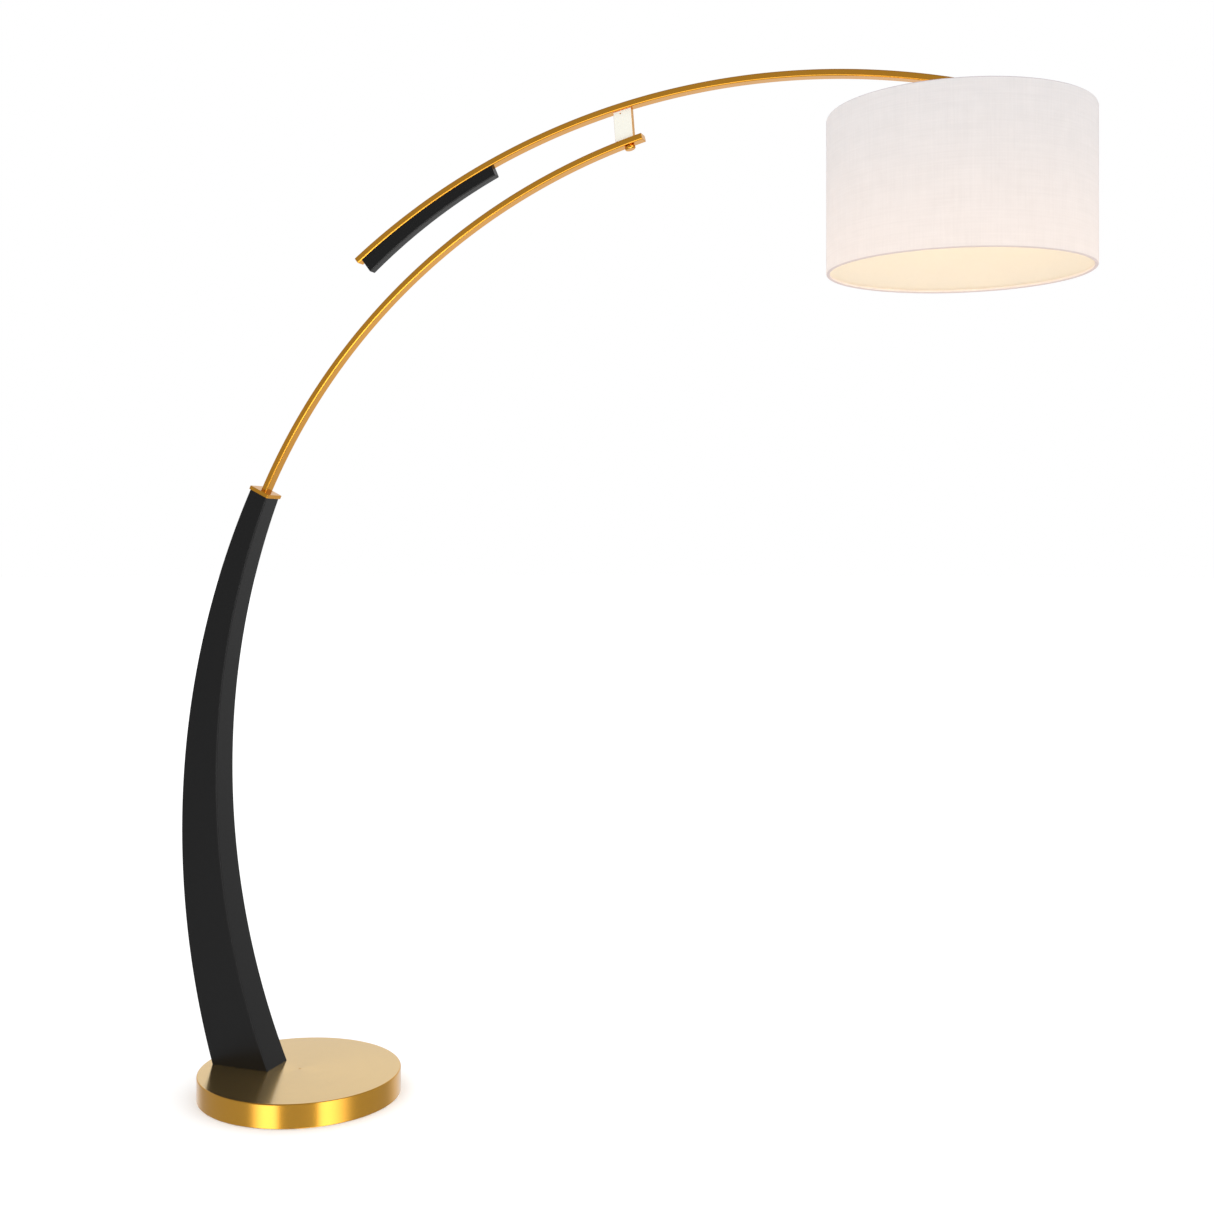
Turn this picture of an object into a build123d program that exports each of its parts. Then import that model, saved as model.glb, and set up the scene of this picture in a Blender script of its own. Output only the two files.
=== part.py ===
from build123d import *
import math
import os

# Arc floor lamp. The floor is Z = 0, the base stands centred on the origin, the arc rises in the
# plane Y = 0 from the column at -X to the shade at +X, and the whole lamp is symmetric about Y = 0.
# Angles on the arcs are in degrees, counted in the plane XZ from +X towards +Z.

# ---- driving dimensions, mm ----
BASE_R = 213.0
BASE_TOP = 50.0
BASE_SKIN = 1.5
COVER_RIM = 1.0
PAD_THICK = 2.0
PLATE_THICK = 5.0

COLUMN_OUTER = (1376.0, 559.0)  # centre of the column's back curve
COLUMN_OUTER_R = 1647.0
COLUMN_INNER = (1347.8, 668.0)  # centre of the column's inner curve
COLUMN_INNER_R = 1532.0
COLUMN_FOOT_W = 80.0
COLUMN_TOP_W = 50.0
COLUMN_EDGE = 3.0
CAP_THICK = 8.0

BAR_W = 25.0
BAR_T = 13.0
BAR_WALL = 1.5
BAR_EDGE = 2.5
LOWER = (1070.0, 709.3)  # centre of the lower arc
LOWER_R = 1282.5
LOWER_FOOT = 153.8  # where the bar leaves the cap plate
LOWER_TAIL = 157.8  # its hidden end inside the column
LOWER_TIP = 103.9
UPPER = (1004.1, 632.8)  # centre of the upper arc
UPPER_R = 1412.8
UPPER_TAIL = 127.6
UPPER_TIP = 74.3

PIVOT = 105.2  # the swivel's axis points away from the lower arc's centre at this angle
BLOCK_L = 37.0
BLOCK_W = 14.0
BLOCK_LEAN = 4.5
NUT_R = 10.5
NUT_H = 8.0

GRIP_W = 22.0
GRIP_START = 127.25
GRIP_END = 113.4
GRIP_DEEP = 32.0
GRIP_SHALLOW = 21.0

HEAD_X = 1367.0
SHADE_R = 240.0
SHADE_BOTTOM = 1655.0
SHADE_TOP = 1940.0
FABRIC_T = 0.8
LINER_T = 0.6
RING_WIRE = 4.0

LEAD_D = 4.0
LEAD_Z = 22.0
LEAD_BEND = 5.5
CORD_BORE = 7.2

RUN = 0.05  # radial clearance of a running fit
FIT = 0.1  # clearance of pieces that are put together by hand


# ---- geometry of the arc plane ----
def in_plane(centre, radius, angle):
    """Point on a circle in the plane XZ, as the two coordinates that a sketch there takes."""
    a = math.radians(angle)
    return (centre[0] + radius * math.cos(a), centre[1] + radius * math.sin(a))


def on_arc(centre, radius, angle):
    """Point on a circle in the plane XZ."""
    x, z = in_plane(centre, radius, angle)
    return Vector(x, 0, z)


def outward(angle):
    """Unit vector that points away from the centre of an arc."""
    return on_arc((0.0, 0.0), 1.0, angle)


def onward(angle):
    """Unit vector along an arc, from the column towards the shade."""
    return on_arc((0.0, 0.0), 1.0, angle - 90.0)


def section_plane(centre, radius, angle):
    """Plane across an arc: local x runs along Y, local y points outward."""
    return Plane(origin=on_arc(centre, radius, angle), x_dir=(0, 1, 0), z_dir=onward(angle))


def seat_plane(centre, radius, angle):
    """Plane that touches an arc: local x runs along Y, local z points outward."""
    return Plane(origin=on_arc(centre, radius, angle), x_dir=(0, 1, 0), z_dir=outward(angle))


def arc_axis(centre):
    """Axis that an arc is turned about, from the column towards the shade."""
    return Axis((centre[0], 0, centre[1]), (0, 1, 0))


def arc_run(centre, radius, start, end):
    """Line along a circle in the plane XZ."""
    return ThreePointArc(
        on_arc(centre, radius, start),
        on_arc(centre, radius, (start + end) / 2),
        on_arc(centre, radius, end),
    )


def angle_about(centre, point):
    """Angle at which a point lies around a centre in the plane XZ."""
    return math.degrees(math.atan2(point.Z - centre[1], point.X - centre[0]))


def radius_about(centre, point):
    """Distance of a point from a centre in the plane XZ."""
    return math.hypot(point.X - centre[0], point.Z - centre[1])


def add_bar_section(inset):
    """Rounded rectangle of the bars, smaller all round by inset."""
    RectangleRounded(BAR_W - 2 * inset, BAR_T - 2 * inset, BAR_EDGE - inset)


def far_along(origin, direction, centre, radius):
    """Distance from origin along direction to the far side of a circle in the plane XZ."""
    gap = Vector(origin.X - centre[0], 0, origin.Z - centre[1])
    along = gap.dot(direction)
    return -along + math.sqrt(along**2 - gap.dot(gap) + radius**2)


# ---- places worked out from the driving dimensions ----
LOWER_C = Vector(LOWER[0], 0, LOWER[1])
PIVOT_DIR = outward(PIVOT)
PIVOT_SIDE = onward(PIVOT)
LOWER_TOP_R = LOWER_R + BAR_T / 2
LOWER_UNDER_R = LOWER_R - BAR_T / 2
UPPER_UNDER_R = UPPER_R - BAR_T / 2
WASHER_T = 0.8
BLOCK_FLOOR = LOWER_TOP_R + WASHER_T + FIT  # distances along the pivot from the lower arc's centre
BLOCK_CEILING = far_along(LOWER_C, PIVOT_DIR, UPPER, UPPER_UNDER_R)
BOLT_R = 4.0
BOLT_BORE_R = 2.6
FLANGE_R = 5.3
FLANGE_T = 2.5
STEP = BLOCK_FLOOR + 14.0
BOLT_TOP = STEP + FIT + FLANGE_T
STUB_R = 5.5
STUB_BOTTOM = BOLT_TOP + 14.0
FOOT_MID = (-123.0, BASE_TOP)

# The wire channel of the column is one arc, tangent to the lower arc where it leaves the cap plate.
chord = on_arc(LOWER, LOWER_R, LOWER_FOOT) - Vector(FOOT_MID[0], 0, FOOT_MID[1])
chord_angle = math.degrees(math.atan2(chord.Z, chord.X))
half_turn = chord_angle - (LOWER_FOOT - 90.0)
CHANNEL_R = chord.length / (2 * math.sin(math.radians(half_turn)))
channel_c = on_arc(LOWER, LOWER_R, LOWER_FOOT) - outward(LOWER_FOOT) * CHANNEL_R
CHANNEL = (channel_c.X, channel_c.Z)
CHANNEL_FOOT = LOWER_FOOT + 2 * half_turn
CHANNEL_D = 12.0

os.makedirs("parts", exist_ok=True)


# ======== base ========
BOLT_SPOTS = [(x, y) for x in (-165.0, -85.0) for y in (-22.0, 22.0)]
M8_R = 4.0
LEAD_HOLE_R = 8.0
GLAND_R = 7.0

with BuildPart() as base_cover:
    with Locations((0, 0, COVER_RIM)):
        Cylinder(BASE_R, BASE_TOP - COVER_RIM, align=(Align.CENTER, Align.CENTER, Align.MIN))
    fillet(base_cover.edges().sort_by(Axis.Z)[-1], 2.5)
    with Locations((0, 0, BASE_TOP - BASE_SKIN)):
        Cylinder(
            BASE_R - BASE_SKIN,
            BASE_TOP,
            align=(Align.CENTER, Align.CENTER, Align.MAX),
            mode=Mode.SUBTRACT,
        )
    with Locations(*BOLT_SPOTS):
        Hole(M8_R + FIT)
    with Locations((FOOT_MID[0], 0)):
        Hole(LEAD_HOLE_R)
    with Locations(Location((-BASE_R, 0, LEAD_Z), (0, 90, 0))):
        Cylinder(GLAND_R, 8, mode=Mode.SUBTRACT)
base_cover.part.label = "base_cover"
export_step(base_cover.part, "parts/base_cover.step")

WEIGHT_BOTTOM = PAD_THICK + PLATE_THICK
WEIGHT_R = BASE_R - BASE_SKIN - 1.5

with BuildPart() as base_weight:
    with BuildSketch(Plane.XY.offset(WEIGHT_BOTTOM)):
        Circle(WEIGHT_R)
        with Locations(*BOLT_SPOTS):
            Circle(M8_R + 0.5, mode=Mode.SUBTRACT)
    extrude(amount=BASE_TOP - BASE_SKIN - WEIGHT_BOTTOM)
    # A groove, open at the top, leads the wire from the inlet to the column.
    with BuildSketch(Plane.XY.offset(LEAD_Z - 10.0)):
        with Locations((-BASE_R, 0)):
            Rectangle(
                BASE_R + FOOT_MID[0] + 12, 20, align=(Align.MIN, Align.CENTER)
            )
    extrude(amount=BASE_TOP, mode=Mode.SUBTRACT)
base_weight.part.label = "base_weight"
export_step(base_weight.part, "parts/base_weight.step")

CSK_R = 8.0
CSK_DEPTH = CSK_R - M8_R

with BuildPart() as base_plate:
    with BuildSketch(Plane.XY.offset(PAD_THICK)):
        Circle(WEIGHT_R)
    extrude(amount=PLATE_THICK)
    with Locations(*[Location((x, y, PAD_THICK), (180, 0, 0)) for x, y in BOLT_SPOTS]):
        CounterSinkHole(M8_R + FIT, CSK_R + FIT, counter_sink_angle=90)
base_plate.part.label = "base_plate"
export_step(base_plate.part, "parts/base_plate.step")

with BuildPart() as base_pad:
    with BuildSketch():
        Circle(WEIGHT_R - 4)
    extrude(amount=PAD_THICK)
base_pad.part.label = "base_pad"
export_step(base_pad.part, "parts/base_pad.step")

INSERT_R = 6.0
INSERT_L = 25.0

with BuildPart() as foot_bolts:
    with BuildSketch(Plane.XY.offset(PAD_THICK)):
        with Locations(*BOLT_SPOTS):
            Circle(M8_R)
    extrude(amount=BASE_TOP - PAD_THICK + INSERT_L - 3)
    with Locations(*[(x, y, PAD_THICK) for x, y in BOLT_SPOTS]):
        Cone(CSK_R, M8_R, CSK_DEPTH, align=(Align.CENTER, Align.CENTER, Align.MIN))
    with BuildSketch(Plane.XY.offset(PAD_THICK)):
        with Locations(*BOLT_SPOTS):
            RegularPolygon(2.8, 6)
    extrude(amount=3, mode=Mode.SUBTRACT)
foot_bolts.part.label = "foot_bolts"
export_step(foot_bolts.part, "parts/foot_bolts.step")

with BuildPart() as foot_inserts:
    with BuildSketch(Plane.XY.offset(BASE_TOP + 0.5)):
        with Locations(*BOLT_SPOTS):
            Circle(INSERT_R)
            Circle(M8_R, mode=Mode.SUBTRACT)
    extrude(amount=INSERT_L)
foot_inserts.part.label = "foot_inserts"
export_step(foot_inserts.part, "parts/foot_inserts.step")

GLAND_IN = 10.0
GLAND_OUT = 3.0

with BuildPart() as cord_inlet:
    with BuildSketch(Plane.XZ):
        with BuildLine():
            Polyline(
                (-BASE_R - GLAND_OUT, LEAD_Z + CORD_BORE / 2),
                (-BASE_R - GLAND_OUT, LEAD_Z + GLAND_R + 1.0),
                (-BASE_R, LEAD_Z + GLAND_R + 2.5),
                (-BASE_R, LEAD_Z + GLAND_R),
                (-BASE_R + BASE_SKIN + 0.6, LEAD_Z + GLAND_R),
                (-BASE_R + BASE_SKIN + 0.6, LEAD_Z + GLAND_R + 1.2),
                (-BASE_R + GLAND_IN, LEAD_Z + GLAND_R - 0.5),
                (-BASE_R + GLAND_IN, LEAD_Z + CORD_BORE / 2),
                close=True,
            )
        make_face()
    revolve(axis=Axis((0, 0, LEAD_Z), (1, 0, 0)))
cord_inlet.part.label = "cord_inlet"
export_step(cord_inlet.part, "parts/cord_inlet.step")


# ======== column ========
TOP_PLANE = section_plane(LOWER, LOWER_R, LOWER_FOOT)
CAP_UNDER = TOP_PLANE.offset(-CAP_THICK)
TAPER_TOP = 1300.0

with BuildPart() as column:
    with BuildSketch(Plane.XZ):
        with Locations(COLUMN_OUTER):
            Circle(COLUMN_OUTER_R)
        with Locations(COLUMN_INNER):
            Circle(COLUMN_INNER_R, mode=Mode.SUBTRACT)
        with Locations((-200.0, BASE_TOP)):
            Rectangle(500, 1290, align=(Align.CENTER, Align.MIN), mode=Mode.INTERSECT)
    extrude(amount=COLUMN_FOOT_W, both=True)
    # The sides lean in, so the width falls evenly from the foot to the top.
    with BuildSketch(Plane.YZ.offset(-400)):
        with BuildLine():
            Polyline(
                (-COLUMN_FOOT_W / 2, BASE_TOP),
                (COLUMN_FOOT_W / 2, BASE_TOP),
                (COLUMN_TOP_W / 2, TAPER_TOP),
                (-COLUMN_TOP_W / 2, TAPER_TOP),
                close=True,
            )
        make_face()
    extrude(amount=600, mode=Mode.INTERSECT)
    split(bisect_by=CAP_UNDER, keep=Keep.BOTTOM)
    long_edges = [e for e in column.edges() if e.length > 1000]
    fillet(long_edges, COLUMN_EDGE)
    # wire channel, mortise for the bar, and holes for the inserts and the cap's screws
    with BuildSketch(section_plane(CHANNEL, CHANNEL_R, CHANNEL_FOOT + 1)):
        Circle(CHANNEL_D / 2)
    revolve(
        axis=arc_axis(CHANNEL), revolution_arc=2 * half_turn + 2, mode=Mode.SUBTRACT
    )
    with BuildSketch(section_plane(LOWER, LOWER_R, LOWER_TAIL + 0.1)):
        RectangleRounded(BAR_W + 2 * FIT, BAR_T + 2 * FIT, BAR_EDGE + FIT)
    revolve(
        axis=arc_axis(LOWER), revolution_arc=LOWER_TAIL - LOWER_FOOT + 1, mode=Mode.SUBTRACT
    )
    with BuildSketch(Plane.XY.offset(BASE_TOP)):
        with Locations(*BOLT_SPOTS):
            Circle(INSERT_R)
    extrude(amount=INSERT_L + 3, mode=Mode.SUBTRACT)
    with BuildSketch(CAP_UNDER):
        with GridLocations(38, 1, 2, 1):
            Circle(1.75)
    extrude(amount=-26, mode=Mode.SUBTRACT)
column.part.label = "column"
export_step(column.part, "parts/column.step")

CAP_L = 49.0
CAP_W = 55.0
CAP_SHIFT = 1.0  # the bar stands this far towards the inner curve from the middle of the plate
SCREW_HEAD_R = 3.6

with BuildPart() as column_cap:
    with BuildSketch(CAP_UNDER):
        with Locations((0, CAP_SHIFT)):
            RectangleRounded(CAP_W, CAP_L, 2.0)
    extrude(amount=CAP_THICK)
    chamfer(column_cap.faces().sort_by(Axis.Z)[-1].edges(), 0.6)
    with BuildSketch(CAP_UNDER):
        RectangleRounded(BAR_W + 2 * FIT, BAR_T + 2 * FIT, BAR_EDGE + FIT)
    extrude(amount=CAP_THICK, mode=Mode.SUBTRACT)
    with Locations(TOP_PLANE):
        with GridLocations(38, 1, 2, 1):
            CounterSinkHole(1.75, SCREW_HEAD_R, counter_sink_angle=90)
column_cap.part.label = "column_cap"
export_step(column_cap.part, "parts/column_cap.step")

with BuildPart() as cap_screws:
    with Locations(TOP_PLANE):
        with GridLocations(38, 1, 2, 1):
            Cone(
                1.75,
                SCREW_HEAD_R,
                SCREW_HEAD_R - 1.75,
                align=(Align.CENTER, Align.CENTER, Align.MAX),
            )
            Cylinder(1.75, 30, align=(Align.CENTER, Align.CENTER, Align.MAX))
            Box(5, 0.8, 1.2, align=(Align.CENTER, Align.CENTER, Align.MAX), mode=Mode.SUBTRACT)
cap_screws.part.label = "cap_screws"
export_step(cap_screws.part, "parts/cap_screws.step")


# ======== arcs ========
STUB_HOLE_R = 3.2
SPIGOT_R = 4.0
GRIP_SCREW_ANGLES = (125.5, 115.5)
M4_R = 2.0

with BuildPart() as lower_arc:
    with BuildSketch(section_plane(LOWER, LOWER_R, LOWER_TAIL)):
        add_bar_section(0)
        RectangleRounded(
            BAR_W - 2 * BAR_WALL, BAR_T - 2 * BAR_WALL, BAR_EDGE - BAR_WALL, mode=Mode.SUBTRACT
        )
    revolve(axis=arc_axis(LOWER), revolution_arc=LOWER_TAIL - LOWER_TIP)
    with BuildSketch(seat_plane(LOWER, LOWER_R - BAR_T, PIVOT)):
        Circle(BOLT_R + FIT)
    extrude(amount=2 * BAR_T, mode=Mode.SUBTRACT)
lower_arc.part.label = "lower_arc"
export_step(lower_arc.part, "parts/lower_arc.step")

with BuildPart() as upper_arc:
    with BuildSketch(section_plane(UPPER, UPPER_R, UPPER_TAIL)):
        add_bar_section(0)
        RectangleRounded(
            BAR_W - 2 * BAR_WALL, BAR_T - 2 * BAR_WALL, BAR_EDGE - BAR_WALL, mode=Mode.SUBTRACT
        )
    revolve(axis=arc_axis(UPPER), revolution_arc=UPPER_TAIL - UPPER_TIP)
    # hole over the swivel for the wire, hole for the knuckle's spigot, holes for the grip's screws
    with BuildSketch(seat_plane(LOWER, BLOCK_CEILING - 5, PIVOT)):
        Circle(STUB_R)
    extrude(amount=11, mode=Mode.SUBTRACT)
    with BuildSketch(Plane.XY.offset(UPPER[1] + UPPER_R - 60)):
        with Locations((HEAD_X, 0)):
            Circle(SPIGOT_R + RUN)
    extrude(amount=20, mode=Mode.SUBTRACT)
    for screw_angle in GRIP_SCREW_ANGLES:
        with Locations(seat_plane(UPPER, UPPER_R + BAR_T / 2, screw_angle)):
            CounterSinkHole(M4_R, 2 * M4_R, depth=BAR_T + 2, counter_sink_angle=90)
upper_arc.part.label = "upper_arc"
export_step(upper_arc.part, "parts/upper_arc.step")

PLUG_FLANGE = 2.0
PLUG_DEPTH = 10.0


def plug(centre, radius, angle, turn):
    """End plug of a bar: turn is +1 where the bar ends towards the shade and -1 at its tail."""
    plane = section_plane(centre, radius, angle)
    with BuildPart() as made:
        with BuildSketch(plane):
            add_bar_section(0)
        extrude(amount=turn * PLUG_FLANGE)
        outer = made.faces().sort_by(Axis(plane.origin, plane.z_dir * turn))[-1]
        fillet(outer.edges(), 0.8)
        with BuildSketch(plane):
            add_bar_section(BAR_WALL + FIT)
        extrude(amount=-turn * PLUG_DEPTH)
    return made.part


with BuildPart() as lower_tip_plug:
    add(plug(LOWER, LOWER_R, LOWER_TIP, 1))
lower_tip_plug.part.label = "lower_tip_plug"
export_step(lower_tip_plug.part, "parts/lower_tip_plug.step")

with BuildPart() as upper_tip_plug:
    add(plug(UPPER, UPPER_R, UPPER_TIP, 1))
upper_tip_plug.part.label = "upper_tip_plug"
export_step(upper_tip_plug.part, "parts/upper_tip_plug.step")

with BuildPart() as upper_tail_plug:
    add(plug(UPPER, UPPER_R, UPPER_TAIL, -1))
upper_tail_plug.part.label = "upper_tail_plug"
export_step(upper_tail_plug.part, "parts/upper_tail_plug.step")

GRIP_SCREW_IN = 13.0
GRIP_BELLY = 1.5
GRIP_MID = (GRIP_START + GRIP_END) / 2

with BuildPart() as tail_grip:
    with BuildSketch(Plane.XZ):
        with BuildLine():
            near_deep = in_plane(UPPER, UPPER_UNDER_R, GRIP_START)
            deep = in_plane(UPPER, UPPER_UNDER_R - GRIP_DEEP, GRIP_START)
            shallow = in_plane(UPPER, UPPER_UNDER_R - GRIP_SHALLOW, GRIP_END)
            near_shallow = in_plane(UPPER, UPPER_UNDER_R, GRIP_END)
            belly = (GRIP_DEEP + GRIP_SHALLOW) / 2 - GRIP_BELLY
            Line(near_deep, deep)
            ThreePointArc(deep, in_plane(UPPER, UPPER_UNDER_R - belly, GRIP_MID), shallow)
            Line(shallow, near_shallow)
            ThreePointArc(near_shallow, in_plane(UPPER, UPPER_UNDER_R, GRIP_MID), near_deep)
        make_face()
    extrude(amount=GRIP_W / 2, both=True)
    long_edges = [e for e in tail_grip.edges() if e.length > 150]
    fillet([e for e in long_edges if radius_about(UPPER, e @ 0.5) < UPPER_UNDER_R - 5], 2.0)
    for screw_angle in GRIP_SCREW_ANGLES:
        with BuildSketch(seat_plane(UPPER, UPPER_UNDER_R - GRIP_SCREW_IN, screw_angle)):
            Circle(M4_R)
        extrude(amount=GRIP_SCREW_IN + 1, mode=Mode.SUBTRACT)
tail_grip.part.label = "tail_grip"
export_step(tail_grip.part, "parts/tail_grip.step")

with BuildPart() as grip_screws:
    for screw_angle in GRIP_SCREW_ANGLES:
        top = seat_plane(UPPER, UPPER_R + BAR_T / 2, screw_angle)
        with BuildSketch(top.offset(-BAR_T - GRIP_SCREW_IN + 1)):
            Circle(M4_R)
        extrude(amount=BAR_T + GRIP_SCREW_IN - 1)
        with Locations(top):
            Cone(M4_R, 2 * M4_R, M4_R, align=(Align.CENTER, Align.CENTER, Align.MAX))
        with BuildSketch(top):
            RegularPolygon(1.6, 6)
        extrude(amount=-1.8, mode=Mode.SUBTRACT)
grip_screws.part.label = "grip_screws"
export_step(grip_screws.part, "parts/grip_screws.step")


# ======== swivel between the two arcs ========
def pivot_disc(bottom, thick, outer, inner=0.0):
    """Round piece on the swivel's axis, from its distance along the axis and its thickness."""
    with BuildPart() as made:
        with BuildSketch(seat_plane(LOWER, bottom, PIVOT)):
            Circle(outer)
            if inner:
                Circle(inner, mode=Mode.SUBTRACT)
        extrude(amount=thick)
    return made.part


with BuildPart() as link_block:
    with BuildSketch(Plane.XZ):
        block_mid = in_plane(LOWER, (BLOCK_FLOOR + BLOCK_CEILING) / 2, PIVOT)
        with Locations(Location((*block_mid, 0), (0, 0, BLOCK_LEAN))):
            Rectangle(BLOCK_L, 100)
        # the top follows the underside of the upper arc
        with Locations(UPPER):
            Circle(UPPER_UNDER_R, mode=Mode.INTERSECT)
    extrude(amount=BLOCK_W / 2, both=True)
    split(bisect_by=seat_plane(LOWER, BLOCK_FLOOR, PIVOT), keep=Keep.TOP)
    upright = link_block.faces().sort_by(Axis.Y)
    fillet(upright[0].edges() + upright[-1].edges(), 0.6)
    add(pivot_disc(BLOCK_FLOOR - 1, 40, BOLT_R + RUN + 0.02), mode=Mode.SUBTRACT)
    add(pivot_disc(STEP, 70, STUB_R + FIT), mode=Mode.SUBTRACT)
    with Locations(Location(on_arc(LOWER, BLOCK_CEILING - 6, PIVOT), (90, 0, 0))):
        Cylinder(
            1.5, BLOCK_W, align=(Align.CENTER, Align.CENTER, Align.MIN), mode=Mode.SUBTRACT
        )
link_block.part.label = "link_block"
export_step(link_block.part, "parts/link_block.step")

with BuildPart() as link_set_screw:
    with Locations(Location(on_arc(LOWER, BLOCK_CEILING - 6, PIVOT), (90, 0, 0))):
        with Locations((0, 0, STUB_R)):
            Cylinder(
                1.5, BLOCK_W / 2 - STUB_R - 0.3, align=(Align.CENTER, Align.CENTER, Align.MIN)
            )
link_set_screw.part.label = "link_set_screw"
export_step(link_set_screw.part, "parts/link_set_screw.step")

with BuildPart() as arm_stub:
    with BuildSketch(seat_plane(LOWER, STUB_BOTTOM, PIVOT)):
        Circle(STUB_R)
        Circle(STUB_HOLE_R, mode=Mode.SUBTRACT)
    extrude(amount=BLOCK_CEILING + BAR_WALL - 0.2 - STUB_BOTTOM)
arm_stub.part.label = "arm_stub"
export_step(arm_stub.part, "parts/arm_stub.step")

BOLT_BOTTOM = LOWER_UNDER_R - NUT_H + 2

with BuildPart() as swivel_bolt:
    add(pivot_disc(BOLT_BOTTOM, BOLT_TOP - BOLT_BOTTOM, BOLT_R))
    add(pivot_disc(STEP + FIT, FLANGE_T, FLANGE_R))
    bore_floor = LOWER_R - LEAD_D / 2 - 1
    add(pivot_disc(bore_floor, BOLT_TOP - bore_floor, BOLT_BORE_R), mode=Mode.SUBTRACT)
    # window that lets the wire in from the lower arc
    with BuildSketch(seat_plane(LOWER, bore_floor, PIVOT)):
        Rectangle(2 * BOLT_BORE_R, 2 * BOLT_R, align=(Align.CENTER, Align.MIN))
    extrude(amount=8.5, mode=Mode.SUBTRACT)
swivel_bolt.part.label = "swivel_bolt"
export_step(swivel_bolt.part, "parts/swivel_bolt.step")

with BuildPart() as friction_washer:
    add(pivot_disc(LOWER_TOP_R, WASHER_T, 6.5, BOLT_R + FIT))
friction_washer.part.label = "friction_washer"
export_step(friction_washer.part, "parts/friction_washer.step")

NUT_TOP = LOWER_UNDER_R - 0.3

with BuildPart() as thumb_nut:
    add(pivot_disc(NUT_TOP - NUT_H, NUT_H, NUT_R))
    fillet(thumb_nut.edges(), 3.0)
    add(pivot_disc(BOLT_BOTTOM - 0.5, NUT_H, BOLT_R + RUN), mode=Mode.SUBTRACT)
thumb_nut.part.label = "thumb_nut"
export_step(thumb_nut.part, "parts/thumb_nut.step")


# ======== knuckle between the upper arc and the lamp holder ========
HEAD_UNDER = UPPER[1] + math.sqrt(UPPER_UNDER_R**2 - (HEAD_X - UPPER[0]) ** 2)
TILT_Z = HEAD_UNDER - 25.0
FORK_R = 13.0
TONGUE_W = 12.4
SLOT_W = 13.0
TONGUE_R = 9.0
WIRE_R = 2.6
TILT_PIN_R = 2.5
TILT_PIN_END = 3.6
PIN_HEAD_R = 4.0
PIN_HEAD_T = 2.2
STEM_R = 5.0

with BuildPart() as knuckle_fork:
    with BuildSketch(Plane.XY.offset(TILT_Z - 8)):
        with Locations((HEAD_X, 0)):
            Circle(FORK_R)
    extrude(amount=60)
    with BuildSketch(Plane.XZ):
        with Locations(UPPER):
            Circle(UPPER_UNDER_R)
    extrude(amount=2 * FORK_R, both=True, mode=Mode.INTERSECT)
    with BuildSketch(Plane.XY.offset(HEAD_UNDER - 4)):
        with Locations((HEAD_X, 0)):
            Circle(SPIGOT_R)
    extrude(amount=8.5)
    with Locations((HEAD_X, 0, TILT_Z - 10)):
        Box(
            4 * FORK_R,
            SLOT_W,
            10 + TONGUE_R + 1,
            align=(Align.CENTER, Align.CENTER, Align.MIN),
            mode=Mode.SUBTRACT,
        )
    with BuildSketch(Plane.XY.offset(TILT_Z)):
        with Locations((HEAD_X, 0)):
            Circle(WIRE_R)
    extrude(amount=60, mode=Mode.SUBTRACT)
    with BuildSketch(Plane.XZ):
        with Locations((HEAD_X, TILT_Z)):
            Circle(TILT_PIN_R)
    extrude(amount=2 * FORK_R, both=True, mode=Mode.SUBTRACT)
    for side in (-1, 1):
        with BuildSketch(Plane.XZ.offset(side * (FORK_R - PIN_HEAD_T - 0.6))):
            with Locations((HEAD_X, TILT_Z)):
                Circle(PIN_HEAD_R)
        extrude(amount=side * 6, mode=Mode.SUBTRACT)
knuckle_fork.part.label = "knuckle_fork"
export_step(knuckle_fork.part, "parts/knuckle_fork.step")

with BuildPart() as tilt_pins:
    for side in (-1, 1):
        with BuildSketch(Plane.XZ.offset(side * TILT_PIN_END)):
            with Locations((HEAD_X, TILT_Z)):
                Circle(TILT_PIN_R)
        extrude(amount=side * (FORK_R - 1 - TILT_PIN_END))
        with BuildSketch(Plane.XZ.offset(side * (FORK_R - PIN_HEAD_T - 0.6))):
            with Locations((HEAD_X, TILT_Z)):
                Circle(PIN_HEAD_R)
        extrude(amount=side * PIN_HEAD_T)
        with BuildSketch(Plane.XZ.offset(side * (FORK_R - 0.6))):
            with Locations((HEAD_X, TILT_Z)):
                Rectangle(2 * PIN_HEAD_R, 0.9)
        extrude(amount=-side * 0.9, mode=Mode.SUBTRACT)
tilt_pins.part.label = "tilt_pins"
export_step(tilt_pins.part, "parts/tilt_pins.step")

SOCKET_TOP = TILT_Z - 22.0

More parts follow.
